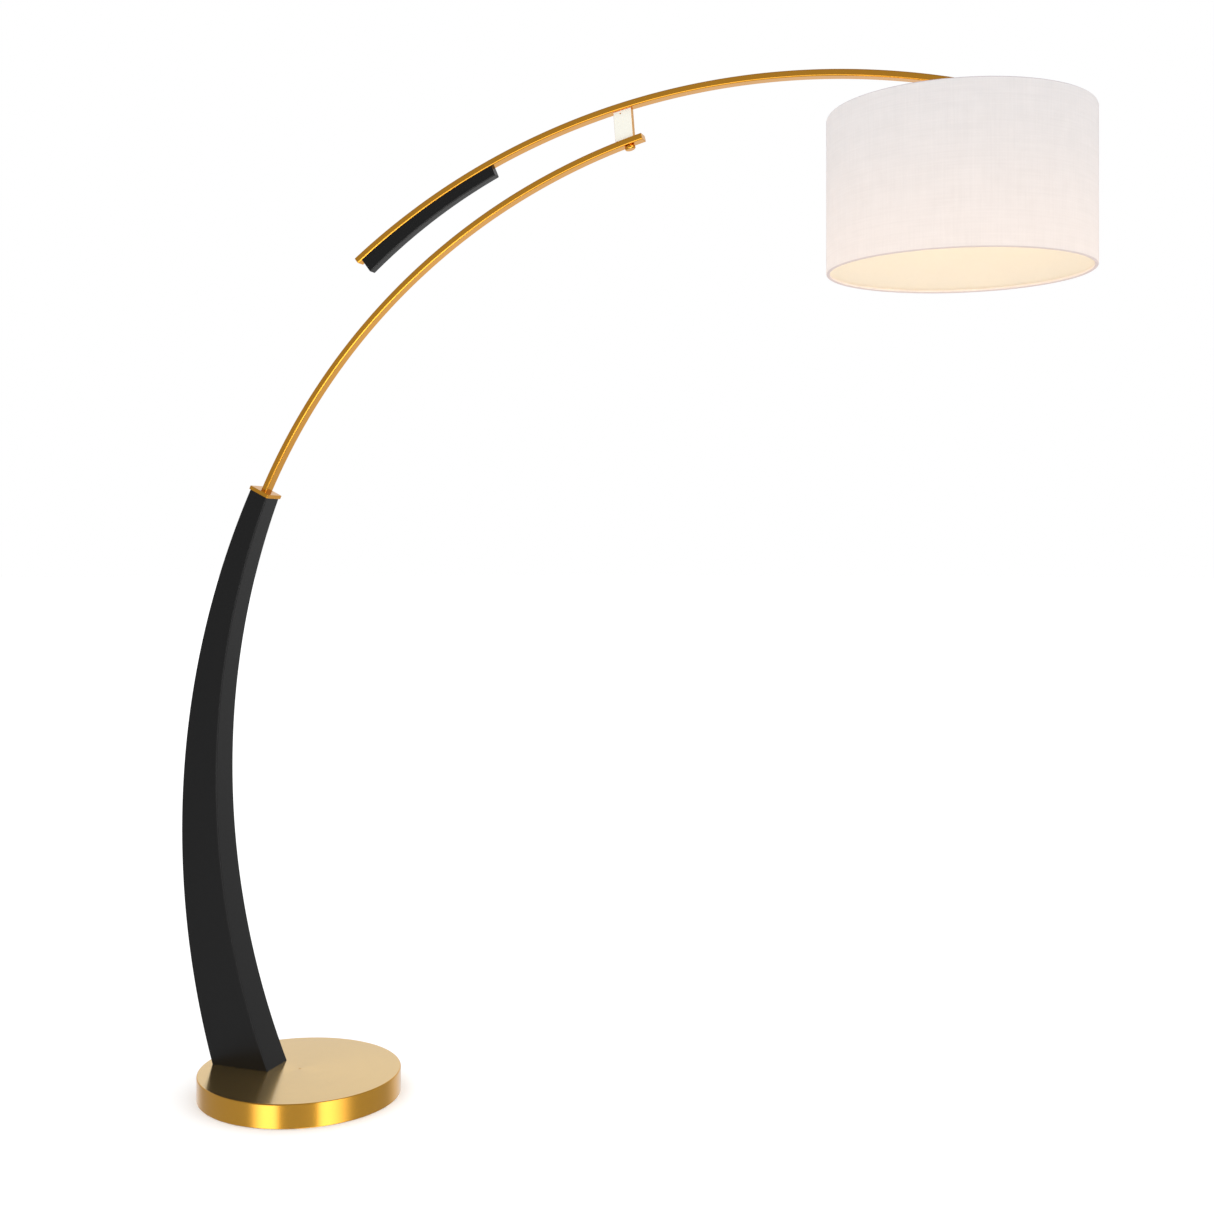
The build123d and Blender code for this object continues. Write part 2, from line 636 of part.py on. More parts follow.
with BuildPart() as knuckle_tongue:
    with BuildSketch(Plane.XZ):
        with Locations((HEAD_X, TILT_Z)):
            Circle(TONGUE_R)
        with Locations((HEAD_X, TILT_Z - TONGUE_R)):
            Rectangle(2 * TONGUE_R, TONGUE_R + 4, align=(Align.CENTER, Align.MAX))
        with Locations((HEAD_X, TILT_Z)):
            Rectangle(2 * TONGUE_R, TONGUE_R, align=(Align.CENTER, Align.MAX))
    extrude(amount=TONGUE_W / 2, both=True)
    with BuildSketch(Plane.XY.offset(SOCKET_TOP)):
        with Locations((HEAD_X, 0)):
            Circle(FORK_R - 2)
    extrude(amount=3)
    with BuildSketch(Plane.XY.offset(SOCKET_TOP - 10)):
        with Locations((HEAD_X, 0)):
            Circle(STEM_R)
    extrude(amount=12)
    with BuildSketch(Plane.XY.offset(SOCKET_TOP - 12)):
        with Locations((HEAD_X, 0)):
            Circle(WIRE_R)
    extrude(amount=60, mode=Mode.SUBTRACT)
    for side in (-1, 1):
        with BuildSketch(Plane.XZ.offset(side * (TILT_PIN_END - 0.2))):
            with Locations((HEAD_X, TILT_Z)):
                Circle(TILT_PIN_R + RUN)
        extrude(amount=side * 5, mode=Mode.SUBTRACT)
knuckle_tongue.part.label = "knuckle_tongue"
export_step(knuckle_tongue.part, "parts/knuckle_tongue.step")


# ======== lamp holder, bulb and switch, all turned about the vertical through HEAD_X ========
def turned(points):
    """Solid turned from its (radius, height) outline about the axis of the lamp holder."""
    with BuildPart() as made:
        with BuildSketch(Plane.XZ):
            with BuildLine():
                Polyline(*[(HEAD_X + r, z) for r, z in points], close=True)
            make_face()
        revolve(axis=Axis((HEAD_X, 0, 0), (0, 0, 1)))
    return made.part


SOCKET_R = 19.0
NECK_R = 18.0
BODY_BOTTOM = SOCKET_TOP - 60.0
SHOULDER = BODY_BOTTOM + 20.0
CAP_RIM = SOCKET_TOP - 18.0
DECK = CAP_RIM - 14.0  # underside of the insulator, where the bulb's contact rests
DECK_T = 6.0

with BuildPart() as socket_cap:
    add(
        turned(
            [
                (STEM_R, SOCKET_TOP),
                (9, SOCKET_TOP),
                (16, SOCKET_TOP - 4),
                (SOCKET_R, SOCKET_TOP - 9),
                (SOCKET_R, CAP_RIM),
                (SOCKET_R - 2, CAP_RIM),
                (SOCKET_R - 2, SOCKET_TOP - 8),
                (14, SOCKET_TOP - 5.5),
                (STEM_R, SOCKET_TOP - 3),
            ]
        )
    )
socket_cap.part.label = "socket_cap"
export_step(socket_cap.part, "parts/socket_cap.step")

with BuildPart() as stem_nut:
    with BuildSketch(Plane.XY.offset(SOCKET_TOP - 8.5)):
        with Locations((HEAD_X, 0)):
            RegularPolygon(8, 6)
            Circle(STEM_R, mode=Mode.SUBTRACT)
    extrude(amount=2.5)
stem_nut.part.label = "stem_nut"
export_step(stem_nut.part, "parts/stem_nut.step")

SHAFT_R = 2.5
SWITCH_Z = CAP_RIM - 5.0

with BuildPart() as socket_body:
    add(
        turned(
            [
                (SOCKET_R - 3, CAP_RIM),
                (SOCKET_R, CAP_RIM),
                (SOCKET_R + 1.5, CAP_RIM - 3),
                (SOCKET_R + 1.5, SHOULDER),
                (NECK_R, SHOULDER),
                (NECK_R, BODY_BOTTOM),
                (NECK_R - 2.5, BODY_BOTTOM),
                (NECK_R - 2.5, CAP_RIM - 14),
                (SOCKET_R - 3, CAP_RIM - 14),
            ]
        )
    )
    with BuildSketch(Plane.YZ.offset(HEAD_X)):
        with Locations((0, SWITCH_Z)):
            Circle(SHAFT_R + RUN)
    extrude(amount=40, mode=Mode.SUBTRACT)
socket_body.part.label = "socket_body"
export_step(socket_body.part, "parts/socket_body.step")

with BuildPart() as socket_insulator:
    add(
        turned(
            [
                (1.6, DECK),
                (NECK_R - 2.6, DECK),
                (NECK_R - 2.6, DECK + DECK_T),
                (1.6, DECK + DECK_T),
            ]
        )
    )
socket_insulator.part.label = "socket_insulator"
export_step(socket_insulator.part, "parts/socket_insulator.step")

with BuildPart() as centre_contact:
    add(
        turned(
            [
                (0, DECK - 1.5),
                (4, DECK - 1.5),
                (4, DECK),
                (1.5, DECK),
                (1.5, DECK + DECK_T),
                (0, DECK + DECK_T),
            ]
        )
    )
centre_contact.part.label = "centre_contact"
export_step(centre_contact.part, "parts/centre_contact.step")

SHELL_OUT_R = 14.6
SHELL_IN_R = 13.4

with BuildPart() as screw_shell:
    add(
        turned(
            [
                (SHELL_IN_R, DECK),
                (SHELL_OUT_R, DECK),
                (SHELL_OUT_R, DECK - 24),
                (SHELL_IN_R, DECK - 24),
            ]
        )
    )
screw_shell.part.label = "screw_shell"
export_step(screw_shell.part, "parts/screw_shell.step")

HUB_T = 2.0
NUT_RING_T = 6.0

with BuildPart() as shade_ring_nut:
    add(
        turned(
            [
                (NECK_R + FIT, SHOULDER - HUB_T),
                (NECK_R + 6, SHOULDER - HUB_T),
                (NECK_R + 6, SHOULDER - HUB_T - NUT_RING_T + 1),
                (NECK_R + 5, SHOULDER - HUB_T - NUT_RING_T),
                (NECK_R + FIT, SHOULDER - HUB_T - NUT_RING_T),
            ]
        )
    )
    with BuildSketch(Plane.XY.offset(SHOULDER - HUB_T)):
        with Locations((HEAD_X, 0)):
            with PolarLocations(NECK_R + 6.6, 18):
                Circle(1.2)
    extrude(amount=-NUT_RING_T, mode=Mode.SUBTRACT)
shade_ring_nut.part.label = "shade_ring_nut"
export_step(shade_ring_nut.part, "parts/shade_ring_nut.step")

KNOB_IN = SOCKET_R + 1.5 + 1.0
KNOB_L = 15.0
KNOB_R = 6.0

with BuildPart() as switch_shaft:
    with BuildSketch(Plane.YZ.offset(HEAD_X + SOCKET_R - 5)):
        with Locations((0, SWITCH_Z)):
            Circle(SHAFT_R)
    extrude(amount=KNOB_IN + 9 - (SOCKET_R - 5))
switch_shaft.part.label = "switch_shaft"
export_step(switch_shaft.part, "parts/switch_shaft.step")

with BuildPart() as switch_knob:
    with BuildSketch(Plane.YZ.offset(HEAD_X + KNOB_IN)):
        with Locations((0, SWITCH_Z)):
            Circle(KNOB_R)
            with PolarLocations(KNOB_R + 0.6, 10):
                Circle(1.2, mode=Mode.SUBTRACT)
    extrude(amount=KNOB_L)
    with BuildSketch(Plane.YZ.offset(HEAD_X + KNOB_IN)):
        with Locations((0, SWITCH_Z)):
            Circle(SHAFT_R)
    extrude(amount=9, mode=Mode.SUBTRACT)
switch_knob.part.label = "switch_knob"
export_step(switch_knob.part, "parts/switch_knob.step")

BULB_R = 30.0
BULB_L = 108.0
GLOBE_T = 1.2
BULB_TOP = DECK - 1.5
GLOBE_Z = BULB_TOP - BULB_L + BULB_R  # centre of the globe
COLLAR_TOP = BULB_TOP - 25.0
COLLAR_BOTTOM = COLLAR_TOP - 22.0
GLOBE_NECK_R = 25.0

with BuildPart() as bulb_base:
    add(
        turned(
            [
                (0, BULB_TOP),
                (4.5, BULB_TOP),
                (5.5, BULB_TOP - 2),
                (13.1, BULB_TOP - 4),
                (13.1, COLLAR_TOP),
                (0, COLLAR_TOP),
            ]
        )
    )
bulb_base.part.label = "bulb_base"
export_step(bulb_base.part, "parts/bulb_base.step")

with BuildPart() as bulb_collar:
    add(
        turned(
            [
                (0, COLLAR_TOP),
                (13.8, COLLAR_TOP),
                (GLOBE_NECK_R, COLLAR_BOTTOM),
                (GLOBE_NECK_R - 3, COLLAR_BOTTOM),
                (GLOBE_NECK_R - 3, COLLAR_BOTTOM + 2),
                (0, COLLAR_BOTTOM + 2),
            ]
        )
    )
bulb_collar.part.label = "bulb_collar"
export_step(bulb_collar.part, "parts/bulb_collar.step")

with BuildPart() as led_board:
    add(
        turned(
            [
                (0, COLLAR_BOTTOM),
                (GLOBE_NECK_R - 3.2, COLLAR_BOTTOM),
                (GLOBE_NECK_R - 3.2, COLLAR_BOTTOM + 2),
                (0, COLLAR_BOTTOM + 2),
            ]
        )
    )
led_board.part.label = "led_board"
export_step(led_board.part, "parts/led_board.step")

# The globe is a thin shell of which the top is cut off at the collar.
with BuildPart() as bulb_globe:
    with BuildSketch(Plane.XY.offset(COLLAR_BOTTOM)):
        with Locations((HEAD_X, 0)):
            Circle(GLOBE_NECK_R)
    extrude(amount=GLOBE_Z + 8 - COLLAR_BOTTOM)
    with Locations((HEAD_X, 0, GLOBE_Z)):
        Sphere(BULB_R)
    with BuildSketch(Plane.XY.offset(COLLAR_BOTTOM)):
        with Locations((HEAD_X, 0)):
            Circle(GLOBE_NECK_R - GLOBE_T)
    extrude(amount=GLOBE_Z + 8 - COLLAR_BOTTOM, mode=Mode.SUBTRACT)
    with Locations((HEAD_X, 0, GLOBE_Z)):
        Sphere(BULB_R - GLOBE_T, mode=Mode.SUBTRACT)
    split(bisect_by=Plane.XY.offset(COLLAR_BOTTOM), keep=Keep.BOTTOM)
bulb_globe.part.label = "bulb_globe"
export_step(bulb_globe.part, "parts/bulb_globe.step")


# ======== shade ========
LINER_R = SHADE_R - FABRIC_T
RING_R = LINER_R - LINER_T - RING_WIRE / 2 - FIT
RING_INSET = 3.0
TOP_RING_Z = SHADE_TOP - RING_INSET
BOTTOM_RING_Z = SHADE_BOTTOM + RING_INSET
SPIDER_ANGLES = (60, 180, 300)
ROD_R = 1.6


def drum(outer, thick, bottom, top):
    """Thin vertical cylinder about the axis of the lamp holder."""
    with BuildPart() as made:
        with BuildSketch(Plane.XY.offset(bottom)):
            with Locations((HEAD_X, 0)):
                Circle(outer)
                Circle(outer - thick, mode=Mode.SUBTRACT)
        extrude(amount=top - bottom)
    return made.part


def wire_ring(height):
    """Round wire hoop that holds one end of the drum in shape."""
    with BuildPart() as made:
        with BuildSketch(Plane.XZ):
            with Locations((HEAD_X + RING_R, height)):
                Circle(RING_WIRE / 2)
        revolve(axis=Axis((HEAD_X, 0, 0), (0, 0, 1)))
    return made.part


with BuildPart() as shade_fabric:
    add(drum(SHADE_R, FABRIC_T, SHADE_BOTTOM, SHADE_TOP))
shade_fabric.part.label = "shade_fabric"
export_step(shade_fabric.part, "parts/shade_fabric.step")

with BuildPart() as shade_liner:
    add(drum(LINER_R, LINER_T, SHADE_BOTTOM + 0.5, SHADE_TOP - 0.5))
shade_liner.part.label = "shade_liner"
export_step(shade_liner.part, "parts/shade_liner.step")

with BuildPart() as shade_bottom_ring:
    add(wire_ring(BOTTOM_RING_Z))
shade_bottom_ring.part.label = "shade_bottom_ring"
export_step(shade_bottom_ring.part, "parts/shade_bottom_ring.step")

# The spider is one welding: the hub on the lamp holder, the rods and the top hoop.
HUB_OUT_R = NECK_R + 7.0

with BuildPart() as shade_spider:
    with BuildSketch(Plane.XY.offset(SHOULDER - HUB_T)):
        with Locations((HEAD_X, 0)):
            Circle(HUB_OUT_R)
            Circle(NECK_R + FIT, mode=Mode.SUBTRACT)
    extrude(amount=HUB_T)
    add(wire_ring(TOP_RING_Z))
    for rod_angle in SPIDER_ANGLES:
        a = math.radians(rod_angle)
        inner_end = Vector(
            HEAD_X + (HUB_OUT_R - 0.5) * math.cos(a),
            (HUB_OUT_R - 0.5) * math.sin(a),
            SHOULDER - HUB_T / 2,
        )
        outer_end = Vector(HEAD_X + RING_R * math.cos(a), RING_R * math.sin(a), TOP_RING_Z)
        rod = outer_end - inner_end
        with BuildSketch(Plane(origin=inner_end, z_dir=rod)):
            Circle(ROD_R)
        extrude(amount=rod.length)
shade_spider.part.label = "shade_spider"
export_step(shade_spider.part, "parts/shade_spider.step")


# ======== internal wire, in three lengths that meet at the swivel and at the knuckle ========
def wire_along(path, start, direction):
    """Round wire swept along a path."""
    with BuildPart() as made:
        with BuildSketch(Plane(origin=start, z_dir=direction)):
            Circle(LEAD_D / 2)
        sweep(path=path)
    return made.part


ENTRY_BEND = 18.0
LEAD_START = Vector(-188, 0, LEAD_Z)
entry_turn = CHANNEL_FOOT - 90.0  # the wire's direction at the foot of the column
foot_point = on_arc(CHANNEL, CHANNEL_R, CHANNEL_FOOT)
entry_rise = (BASE_TOP - LEAD_Z) - ENTRY_BEND * (1 - math.cos(math.radians(entry_turn)))
entry_run = entry_rise / math.sin(math.radians(entry_turn))
bend_end = foot_point - onward(CHANNEL_FOOT) * entry_run
bend_mid_x = bend_end.X - ENTRY_BEND * math.sin(math.radians(entry_turn))
ENTRY = (bend_mid_x, LEAD_Z + ENTRY_BEND)

# The bend into the swivel bolt touches the lower arc's centre line and the bolt's axis.
lower_bend_r = math.sqrt((LOWER_R + LEAD_BEND) ** 2 - LEAD_BEND**2)
lower_bend_c = LOWER_C + PIVOT_DIR * lower_bend_r - PIVOT_SIDE * LEAD_BEND
LOWER_BEND = (lower_bend_c.X, lower_bend_c.Z)
lower_leave = angle_about(LOWER, lower_bend_c)

with BuildLine() as lower_path:
    Line(LEAD_START, Vector(bend_mid_x, 0, LEAD_Z))
    arc_run(ENTRY, ENTRY_BEND, -90, entry_turn - 90)
    Line(bend_end, foot_point)
    arc_run(CHANNEL, CHANNEL_R, CHANNEL_FOOT, LOWER_FOOT)
    arc_run(LOWER, LOWER_R, LOWER_FOOT, lower_leave)
    arc_run(LOWER_BEND, LEAD_BEND, lower_leave - 180, PIVOT - 90)
    Line(lower_bend_c + PIVOT_SIDE * LEAD_BEND, on_arc(LOWER, BOLT_TOP, PIVOT))
with BuildPart() as lower_lead:
    add(wire_along(lower_path.line, LEAD_START, (1, 0, 0)))
lower_lead.part.label = "lower_lead"
export_step(lower_lead.part, "parts/lower_lead.step")

# The bends of the upper wire touch the upper arc's centre line from inside.
upper_start = on_arc(LOWER, BOLT_TOP + 2, PIVOT)
side_origin = LOWER_C + PIVOT_SIDE * LEAD_BEND
upper_bend_c = side_origin + PIVOT_DIR * far_along(
    side_origin, PIVOT_DIR, UPPER, UPPER_R - LEAD_BEND
)
UPPER_BEND = (upper_bend_c.X, upper_bend_c.Z)
upper_enter = angle_about(UPPER, upper_bend_c)
drop_x = HEAD_X - LEAD_BEND
drop_z = UPPER[1] + math.sqrt((UPPER_R - LEAD_BEND) ** 2 - (drop_x - UPPER[0]) ** 2)
DROP = (drop_x, drop_z)
upper_leave = angle_about(UPPER, Vector(drop_x, 0, drop_z))
upper_end = Vector(HEAD_X, 0, TILT_Z + TONGUE_R + 1.5)

with BuildLine() as upper_path:
    Line(upper_start, upper_bend_c - PIVOT_SIDE * LEAD_BEND)
    arc_run(UPPER_BEND, LEAD_BEND, PIVOT + 90, upper_enter)
    arc_run(UPPER, UPPER_R, upper_enter, upper_leave)
    arc_run(DROP, LEAD_BEND, upper_leave, 0)
    Line(Vector(HEAD_X, 0, drop_z), upper_end)
with BuildPart() as upper_lead:
    add(wire_along(upper_path.line, upper_start, PIVOT_DIR))
upper_lead.part.label = "upper_lead"
export_step(upper_lead.part, "parts/upper_lead.step")

with BuildPart() as socket_lead:
    with BuildSketch(Plane.XY.offset(DECK + DECK_T)):
        with Locations((HEAD_X, 0)):
            Circle(LEAD_D / 2)
    extrude(amount=TILT_Z + TONGUE_R - 1.5 - DECK - DECK_T)
socket_lead.part.label = "socket_lead"
export_step(socket_lead.part, "parts/socket_lead.step")
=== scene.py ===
import math

import bmesh
import bpy
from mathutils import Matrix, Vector


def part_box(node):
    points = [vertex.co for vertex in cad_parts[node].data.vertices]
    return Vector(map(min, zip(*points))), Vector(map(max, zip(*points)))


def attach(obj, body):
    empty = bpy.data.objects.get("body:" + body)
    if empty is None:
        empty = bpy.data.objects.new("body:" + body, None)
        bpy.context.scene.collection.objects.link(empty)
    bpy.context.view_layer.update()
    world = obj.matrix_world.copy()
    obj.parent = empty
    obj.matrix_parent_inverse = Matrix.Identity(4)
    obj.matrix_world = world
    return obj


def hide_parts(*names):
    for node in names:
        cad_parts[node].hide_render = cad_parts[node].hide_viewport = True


# Looks of the arc floor lamp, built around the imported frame. Metres, +Z up, the arcs lie in the plane
# Y = 0 and rise from the column at -X to the shade at +X. Angles on the arcs are in degrees, counted
# in that plane from +X towards +Z.

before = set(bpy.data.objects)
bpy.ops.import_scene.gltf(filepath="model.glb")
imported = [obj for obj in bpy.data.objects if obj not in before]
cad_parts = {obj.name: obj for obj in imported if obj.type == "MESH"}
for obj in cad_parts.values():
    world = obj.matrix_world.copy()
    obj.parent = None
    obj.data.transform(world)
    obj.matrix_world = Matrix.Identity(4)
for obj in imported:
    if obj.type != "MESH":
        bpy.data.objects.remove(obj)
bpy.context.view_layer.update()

# ---- dimensions shared with the CAD ----
# An arc is its centre (x, z) and its radius, with an angle for each place along it.
BAR_W, BAR_T = 0.025, 0.013
BAR_WALL = 0.0015
BAR_EDGE = 0.0025
LOWER, LOWER_R = (1.0700, 0.7093), 1.2825
LOWER_TAIL, LOWER_FOOT, LOWER_TIP = 157.8, 153.8, 103.9
UPPER, UPPER_R = (1.0041, 0.6328), 1.4128
UPPER_TAIL, UPPER_TIP = 127.6, 74.3
UPPER_UNDER = UPPER_R - BAR_T / 2

COLUMN_OUTER, COLUMN_OUTER_R = (1.376, 0.559), 1.647
COLUMN_INNER, COLUMN_INNER_R = (1.3478, 0.668), 1.532
COLUMN_FOOT_W, COLUMN_TOP_W, TAPER_TOP = 0.080, 0.050, 1.300
COLUMN_EDGE = 0.003
CAP_L, CAP_W, CAP_T, CAP_SHIFT = 0.049, 0.055, 0.008, 0.001
CAP_SCREW_Y = 0.019

GRIP_W = 0.022
GRIP_START, GRIP_END = 127.25, 113.4
GRIP_DEEP, GRIP_SHALLOW, GRIP_BELLY = 0.032, 0.021, 0.0015
GRIP_SCREWS = (125.5, 115.5)

BASE_SKIN = 0.0015
INLET_R = 0.007
FABRIC_T = 0.0008

# ---- places read from the frame ----
cover_lo, cover_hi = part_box("base_cover")
BASE_R, BASE_TOP, COVER_RIM = cover_hi.x, cover_hi.z, cover_lo.z
inlet_lo, inlet_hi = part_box("cord_inlet")
INLET_Z = (inlet_lo.z + inlet_hi.z) / 2
shade_lo, shade_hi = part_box("shade_fabric")
HEAD_X = (shade_lo.x + shade_hi.x) / 2
SHADE_R = (shade_hi.x - shade_lo.x) / 2
SHADE_BOTTOM, SHADE_TOP = shade_lo.z, shade_hi.z
set_lo, set_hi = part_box("link_set_screw")


# ======== camera, light and floor ========
STUDIO_TURN = 20.0  # the lamp's plane stands at this angle to the picture

camera_data = bpy.data.cameras.new("camera")
camera_data.lens = 46.11
camera_data.sensor_width = 36.0
camera_data.shift_x = 0.0222
camera_data.shift_y = -0.0486
camera_data.clip_end = 200.0
camera = bpy.data.objects.new("camera", camera_data)
camera.location = (1.6851, -2.8932, 1.1533)
camera.rotation_euler = (math.radians(90.0), 0.0, math.radians(STUDIO_TURN))
bpy.context.scene.collection.objects.link(camera)
bpy.context.scene.camera = camera
bpy.context.scene.view_settings.view_transform = "Standard"


class Tree:
    """A node tree with short calls for the nodes that this script uses."""

    def __init__(self, tree):
        self.tree = tree
        tree.nodes.clear()

    def add(self, kind, inputs=None, **settings):
        node = self.tree.nodes.new(kind)
        for key, value in settings.items():
            setattr(node, key, value)
        for key, value in (inputs or {}).items():
            self.put(node.inputs[key], value)
        return node

    def put(self, socket, value):
        if isinstance(value, bpy.types.NodeSocket):
            self.tree.links.new(value, socket)
        else:
            socket.default_value = value

    def math(self, operation, *values, clamp=False):
        node = self.add("ShaderNodeMath", operation=operation, use_clamp=clamp)
        for socket, value in zip(node.inputs, values):
            self.put(socket, value)
        return node.outputs[0]

    def split(self, vector):
        """The three coordinates of a vector."""
        return self.add("ShaderNodeSeparateXYZ", {"Vector": vector}).outputs

    def length(self, x, y):
        """Length of a flat vector."""
        return self.math("SQRT", self.math("ADD", self.math("MULTIPLY", x, x), self.math("MULTIPLY", y, y)))

    def around(self, noise, width, middle):
        """Values around middle, from a noise around 0.5."""
        return self.math("ADD", self.math("MULTIPLY", self.math("SUBTRACT", noise, 0.5), width), middle)

    def step(self, value, low, high, start=0.0, end=1.0):
        """Smooth step of value from start, below low, to end, above high."""
        node = self.add(
            "ShaderNodeMapRange",
            {"Value": value, "From Min": low, "From Max": high, "To Min": start, "To Max": end},
            interpolation_type="SMOOTHSTEP",
        )
        return node.outputs["Result"]

    def mix(self, share, first, second):
        node = self.add("ShaderNodeMix", data_type="RGBA")
        self.put(node.inputs["Factor"], share)
        self.put(node.inputs[6], first)
        self.put(node.inputs[7], second)
        return node.outputs[2]


BACK_LEVEL, SIDE_LEVEL = 0.80, 0.43
BACK_FROM, BACK_FULL = 0.52, 0.92  # cosine of the bearing from straight behind
OVERHEAD_SHARE = 0.70  # what is left of the level overhead
OVERHEAD_FROM, OVERHEAD_FULL = 0.36, 0.72  # sine of the elevation
SOFT_LEVEL = 1.23  # what matt surfaces gather from all round
# for each panel: bearing of its crisp and of its faded edge, how far each of them blurs, its lowest and
# highest elevation, all in degrees, and its gain
PANELS = (
    (-39.0, -12.0, 3.0, 18.0, -32.0, 48.0, 1.9),
    (-84.0, -109.0, 3.0, 10.0, -50.0, -9.0, 2.0),
    (-20.0, -64.0, 3.0, 3.0, -68.0, -36.0, 5.0),
)


def build_world():
    """Pale studio: brightest straight behind, darker overhead, with soft panels in front."""
    world = bpy.data.worlds.new("studio")
    bpy.context.scene.world = world
    world.use_nodes = True
    world.cycles.sampling_method = "NONE"
    t = Tree(world.node_tree)

    def rise(value, degrees, blur):
        return t.step(value, math.radians(degrees - blur), math.radians(degrees + blur))

    x, y, z = t.split(t.add("ShaderNodeTexCoord").outputs["Generated"])
    turn = math.radians(STUDIO_TURN)
    safe = 0.02  # keeps the division finite straight up and down
    behind = t.math("ADD", t.math("MULTIPLY", x, -math.sin(turn)), t.math("MULTIPLY", y, math.cos(turn)))
    behind = t.math("DIVIDE", behind, t.math("ADD", t.length(x, y), safe))
    level = t.step(behind, BACK_FROM, BACK_FULL, SIDE_LEVEL, BACK_LEVEL)
    level = t.math("MULTIPLY", level, t.step(z, OVERHEAD_FROM, OVERHEAD_FULL, 1.0, OVERHEAD_SHARE))
    azimuth = t.math("ARCTAN2", y, x)
    height = t.math("ARCSINE", z)
    for crisp, faded, narrow, soft, low, high, gain in PANELS:
        way = 1 if faded > crisp else -1
        across = t.math("SUBTRACT", rise(azimuth, crisp, narrow), rise(azimuth, faded, soft))
        across = t.math("MULTIPLY", across, way)
        upright = t.math("SUBTRACT", rise(height, low, narrow), rise(height, high, narrow))
        level = t.math("ADD", level, t.math("MULTIPLY", t.math("MULTIPLY", across, upright), gain))
    studio = t.add("ShaderNodeCombineColor", {"Red": level, "Green": level, "Blue": level})
    ray = t.add("ShaderNodeLightPath")
    soft_light = (SOFT_LEVEL, SOFT_LEVEL, SOFT_LEVEL, 1.0)
    colour = t.mix(ray.outputs["Is Glossy Ray"], soft_light, studio.outputs[0])
    colour = t.mix(ray.outputs["Is Camera Ray"], colour, (1.0, 1.0, 1.0, 1.0))
    background = t.add("ShaderNodeBackground", {"Color": colour, "Strength": 1.0})
    output = t.add("ShaderNodeOutputWorld")
    t.put(output.inputs["Surface"], background.outputs[0])


FLOOR_R = 60.0
FLOOR_ALBEDO, FLOOR_GLOW = 0.92, 0.09


def build_floor():
    """Plain pale floor, which reflections don't show."""
    bpy.ops.mesh.primitive_circle_add(vertices=96, radius=FLOOR_R, fill_type="NGON")
    floor = bpy.context.object
    floor.name = "floor"
    material = bpy.data.materials.new("floor_look")
    material.use_nodes = True
    t = Tree(material.node_tree)
    shader = t.add(
        "ShaderNodeBsdfPrincipled",
        {
            "Base Color": (FLOOR_ALBEDO, FLOOR_ALBEDO, FLOOR_ALBEDO, 1.0),
            "Roughness": 1.0,
            "Specular IOR Level": 0.0,
            "Emission Color": (1.0, 1.0, 1.0, 1.0),
            "Emission Strength": FLOOR_GLOW,
        },
    )
    output = t.add("ShaderNodeOutputMaterial")
    t.put(output.inputs["Surface"], shader.outputs[0])
    floor.data.materials.append(material)
    floor.visible_glossy = False


build_world()
build_floor()


# ======== materials ========
looks = {}


def look(name):
    """Starts a material: returns its tree and the Principled shader on its output."""
    material = bpy.data.materials.new(name + "_look")
    material.use_nodes = True
    tree = Tree(material.node_tree)
    shader = tree.add("ShaderNodeBsdfPrincipled")
    output = tree.add("ShaderNodeOutputMaterial")
    tree.put(output.inputs["Surface"], shader.outputs[0])
    looks[name] = material
    return tree, shader


def stretched_noise(t, vector, scale, detail=4.0, roughness=0.6):
    """Noise whose grain is stretched by a scale for each axis of vector."""
    mapping = t.add("ShaderNodeMapping", {"Vector": vector, "Scale": scale})
    noise = t.add(
        "ShaderNodeTexNoise",
        {"Vector": mapping.outputs[0], "Scale": 1.0, "Detail": detail, "Roughness": roughness},
    )
    return noise.outputs[0]


def bump(t, shader, height, distance, strength=1.0):
    node = t.add("ShaderNodeBump", {"Height": height, "Distance": distance, "Strength": strength})
    t.put(shader.inputs["Normal"], node.outputs[0])


def tint(colour, factor):
    """Opaque colour, with its three parts multiplied by a factor."""
    return (*(c * factor for c in colour[:3]), 1.0)


BRASS = (0.86, 0.39, 0.035)
# paler copy of the brass for the base's top face: painted light, as the top catches the bright studio at a
# low angle
LIT_TOP_BRASS = (0.90, 0.60, 0.21)
COVER_BRASS = (0.86, 0.43, 0.045)


def brass_look(name, roughness, coat, grain, mapped=True, spread=0.05, colour=BRASS):
    """Lacquered brass with a grain as its tool left it, along the map's metres or in the object's."""
    t, shader = look(name)
    solid = t.add("ShaderNodeTexCoord").outputs["Object"]
    lines = stretched_noise(t, t.add("ShaderNodeUVMap").outputs[0] if mapped else solid, grain)
    clouds = stretched_noise(t, solid, (9.0, 9.0, 9.0), 3.0)
    t.put(shader.inputs["Base Color"], t.mix(clouds, tint(colour, 0.95), tint(colour, 1.05)))
    t.put(shader.inputs["Metallic"], 1.0)
    t.put(shader.inputs["Roughness"], t.around(lines, spread, roughness))
    t.put(shader.inputs["Coat Weight"], coat)
    t.put(shader.inputs["Coat Roughness"], 0.08)
    bump(t, shader, lines, 0.0000015, 0.5)


brass_look("satin_brass", 0.14, 0.2, (3.0, 300.0, 1.0), spread=0.03)
brass_look("turned_brass", 0.18, 0.3, (60.0, 60.0, 2500.0), mapped=False)
brass_look("cover_side", 0.20, 0.5, (3.0, 900.0, 1.0), spread=0.03, colour=COVER_BRASS)

# pale cream painted on the link block's broad faces: a painted highlight, the glare of a bright light on
# the brass
PAINTED_GLARE_LOW, PAINTED_GLARE_HIGH = (0.800, 0.785, 0.700, 1.0), (0.810, 0.795, 0.710, 1.0)
EDGE_ROUGHNESS, BROAD_FACE_ROUGHNESS = 0.16, 0.35


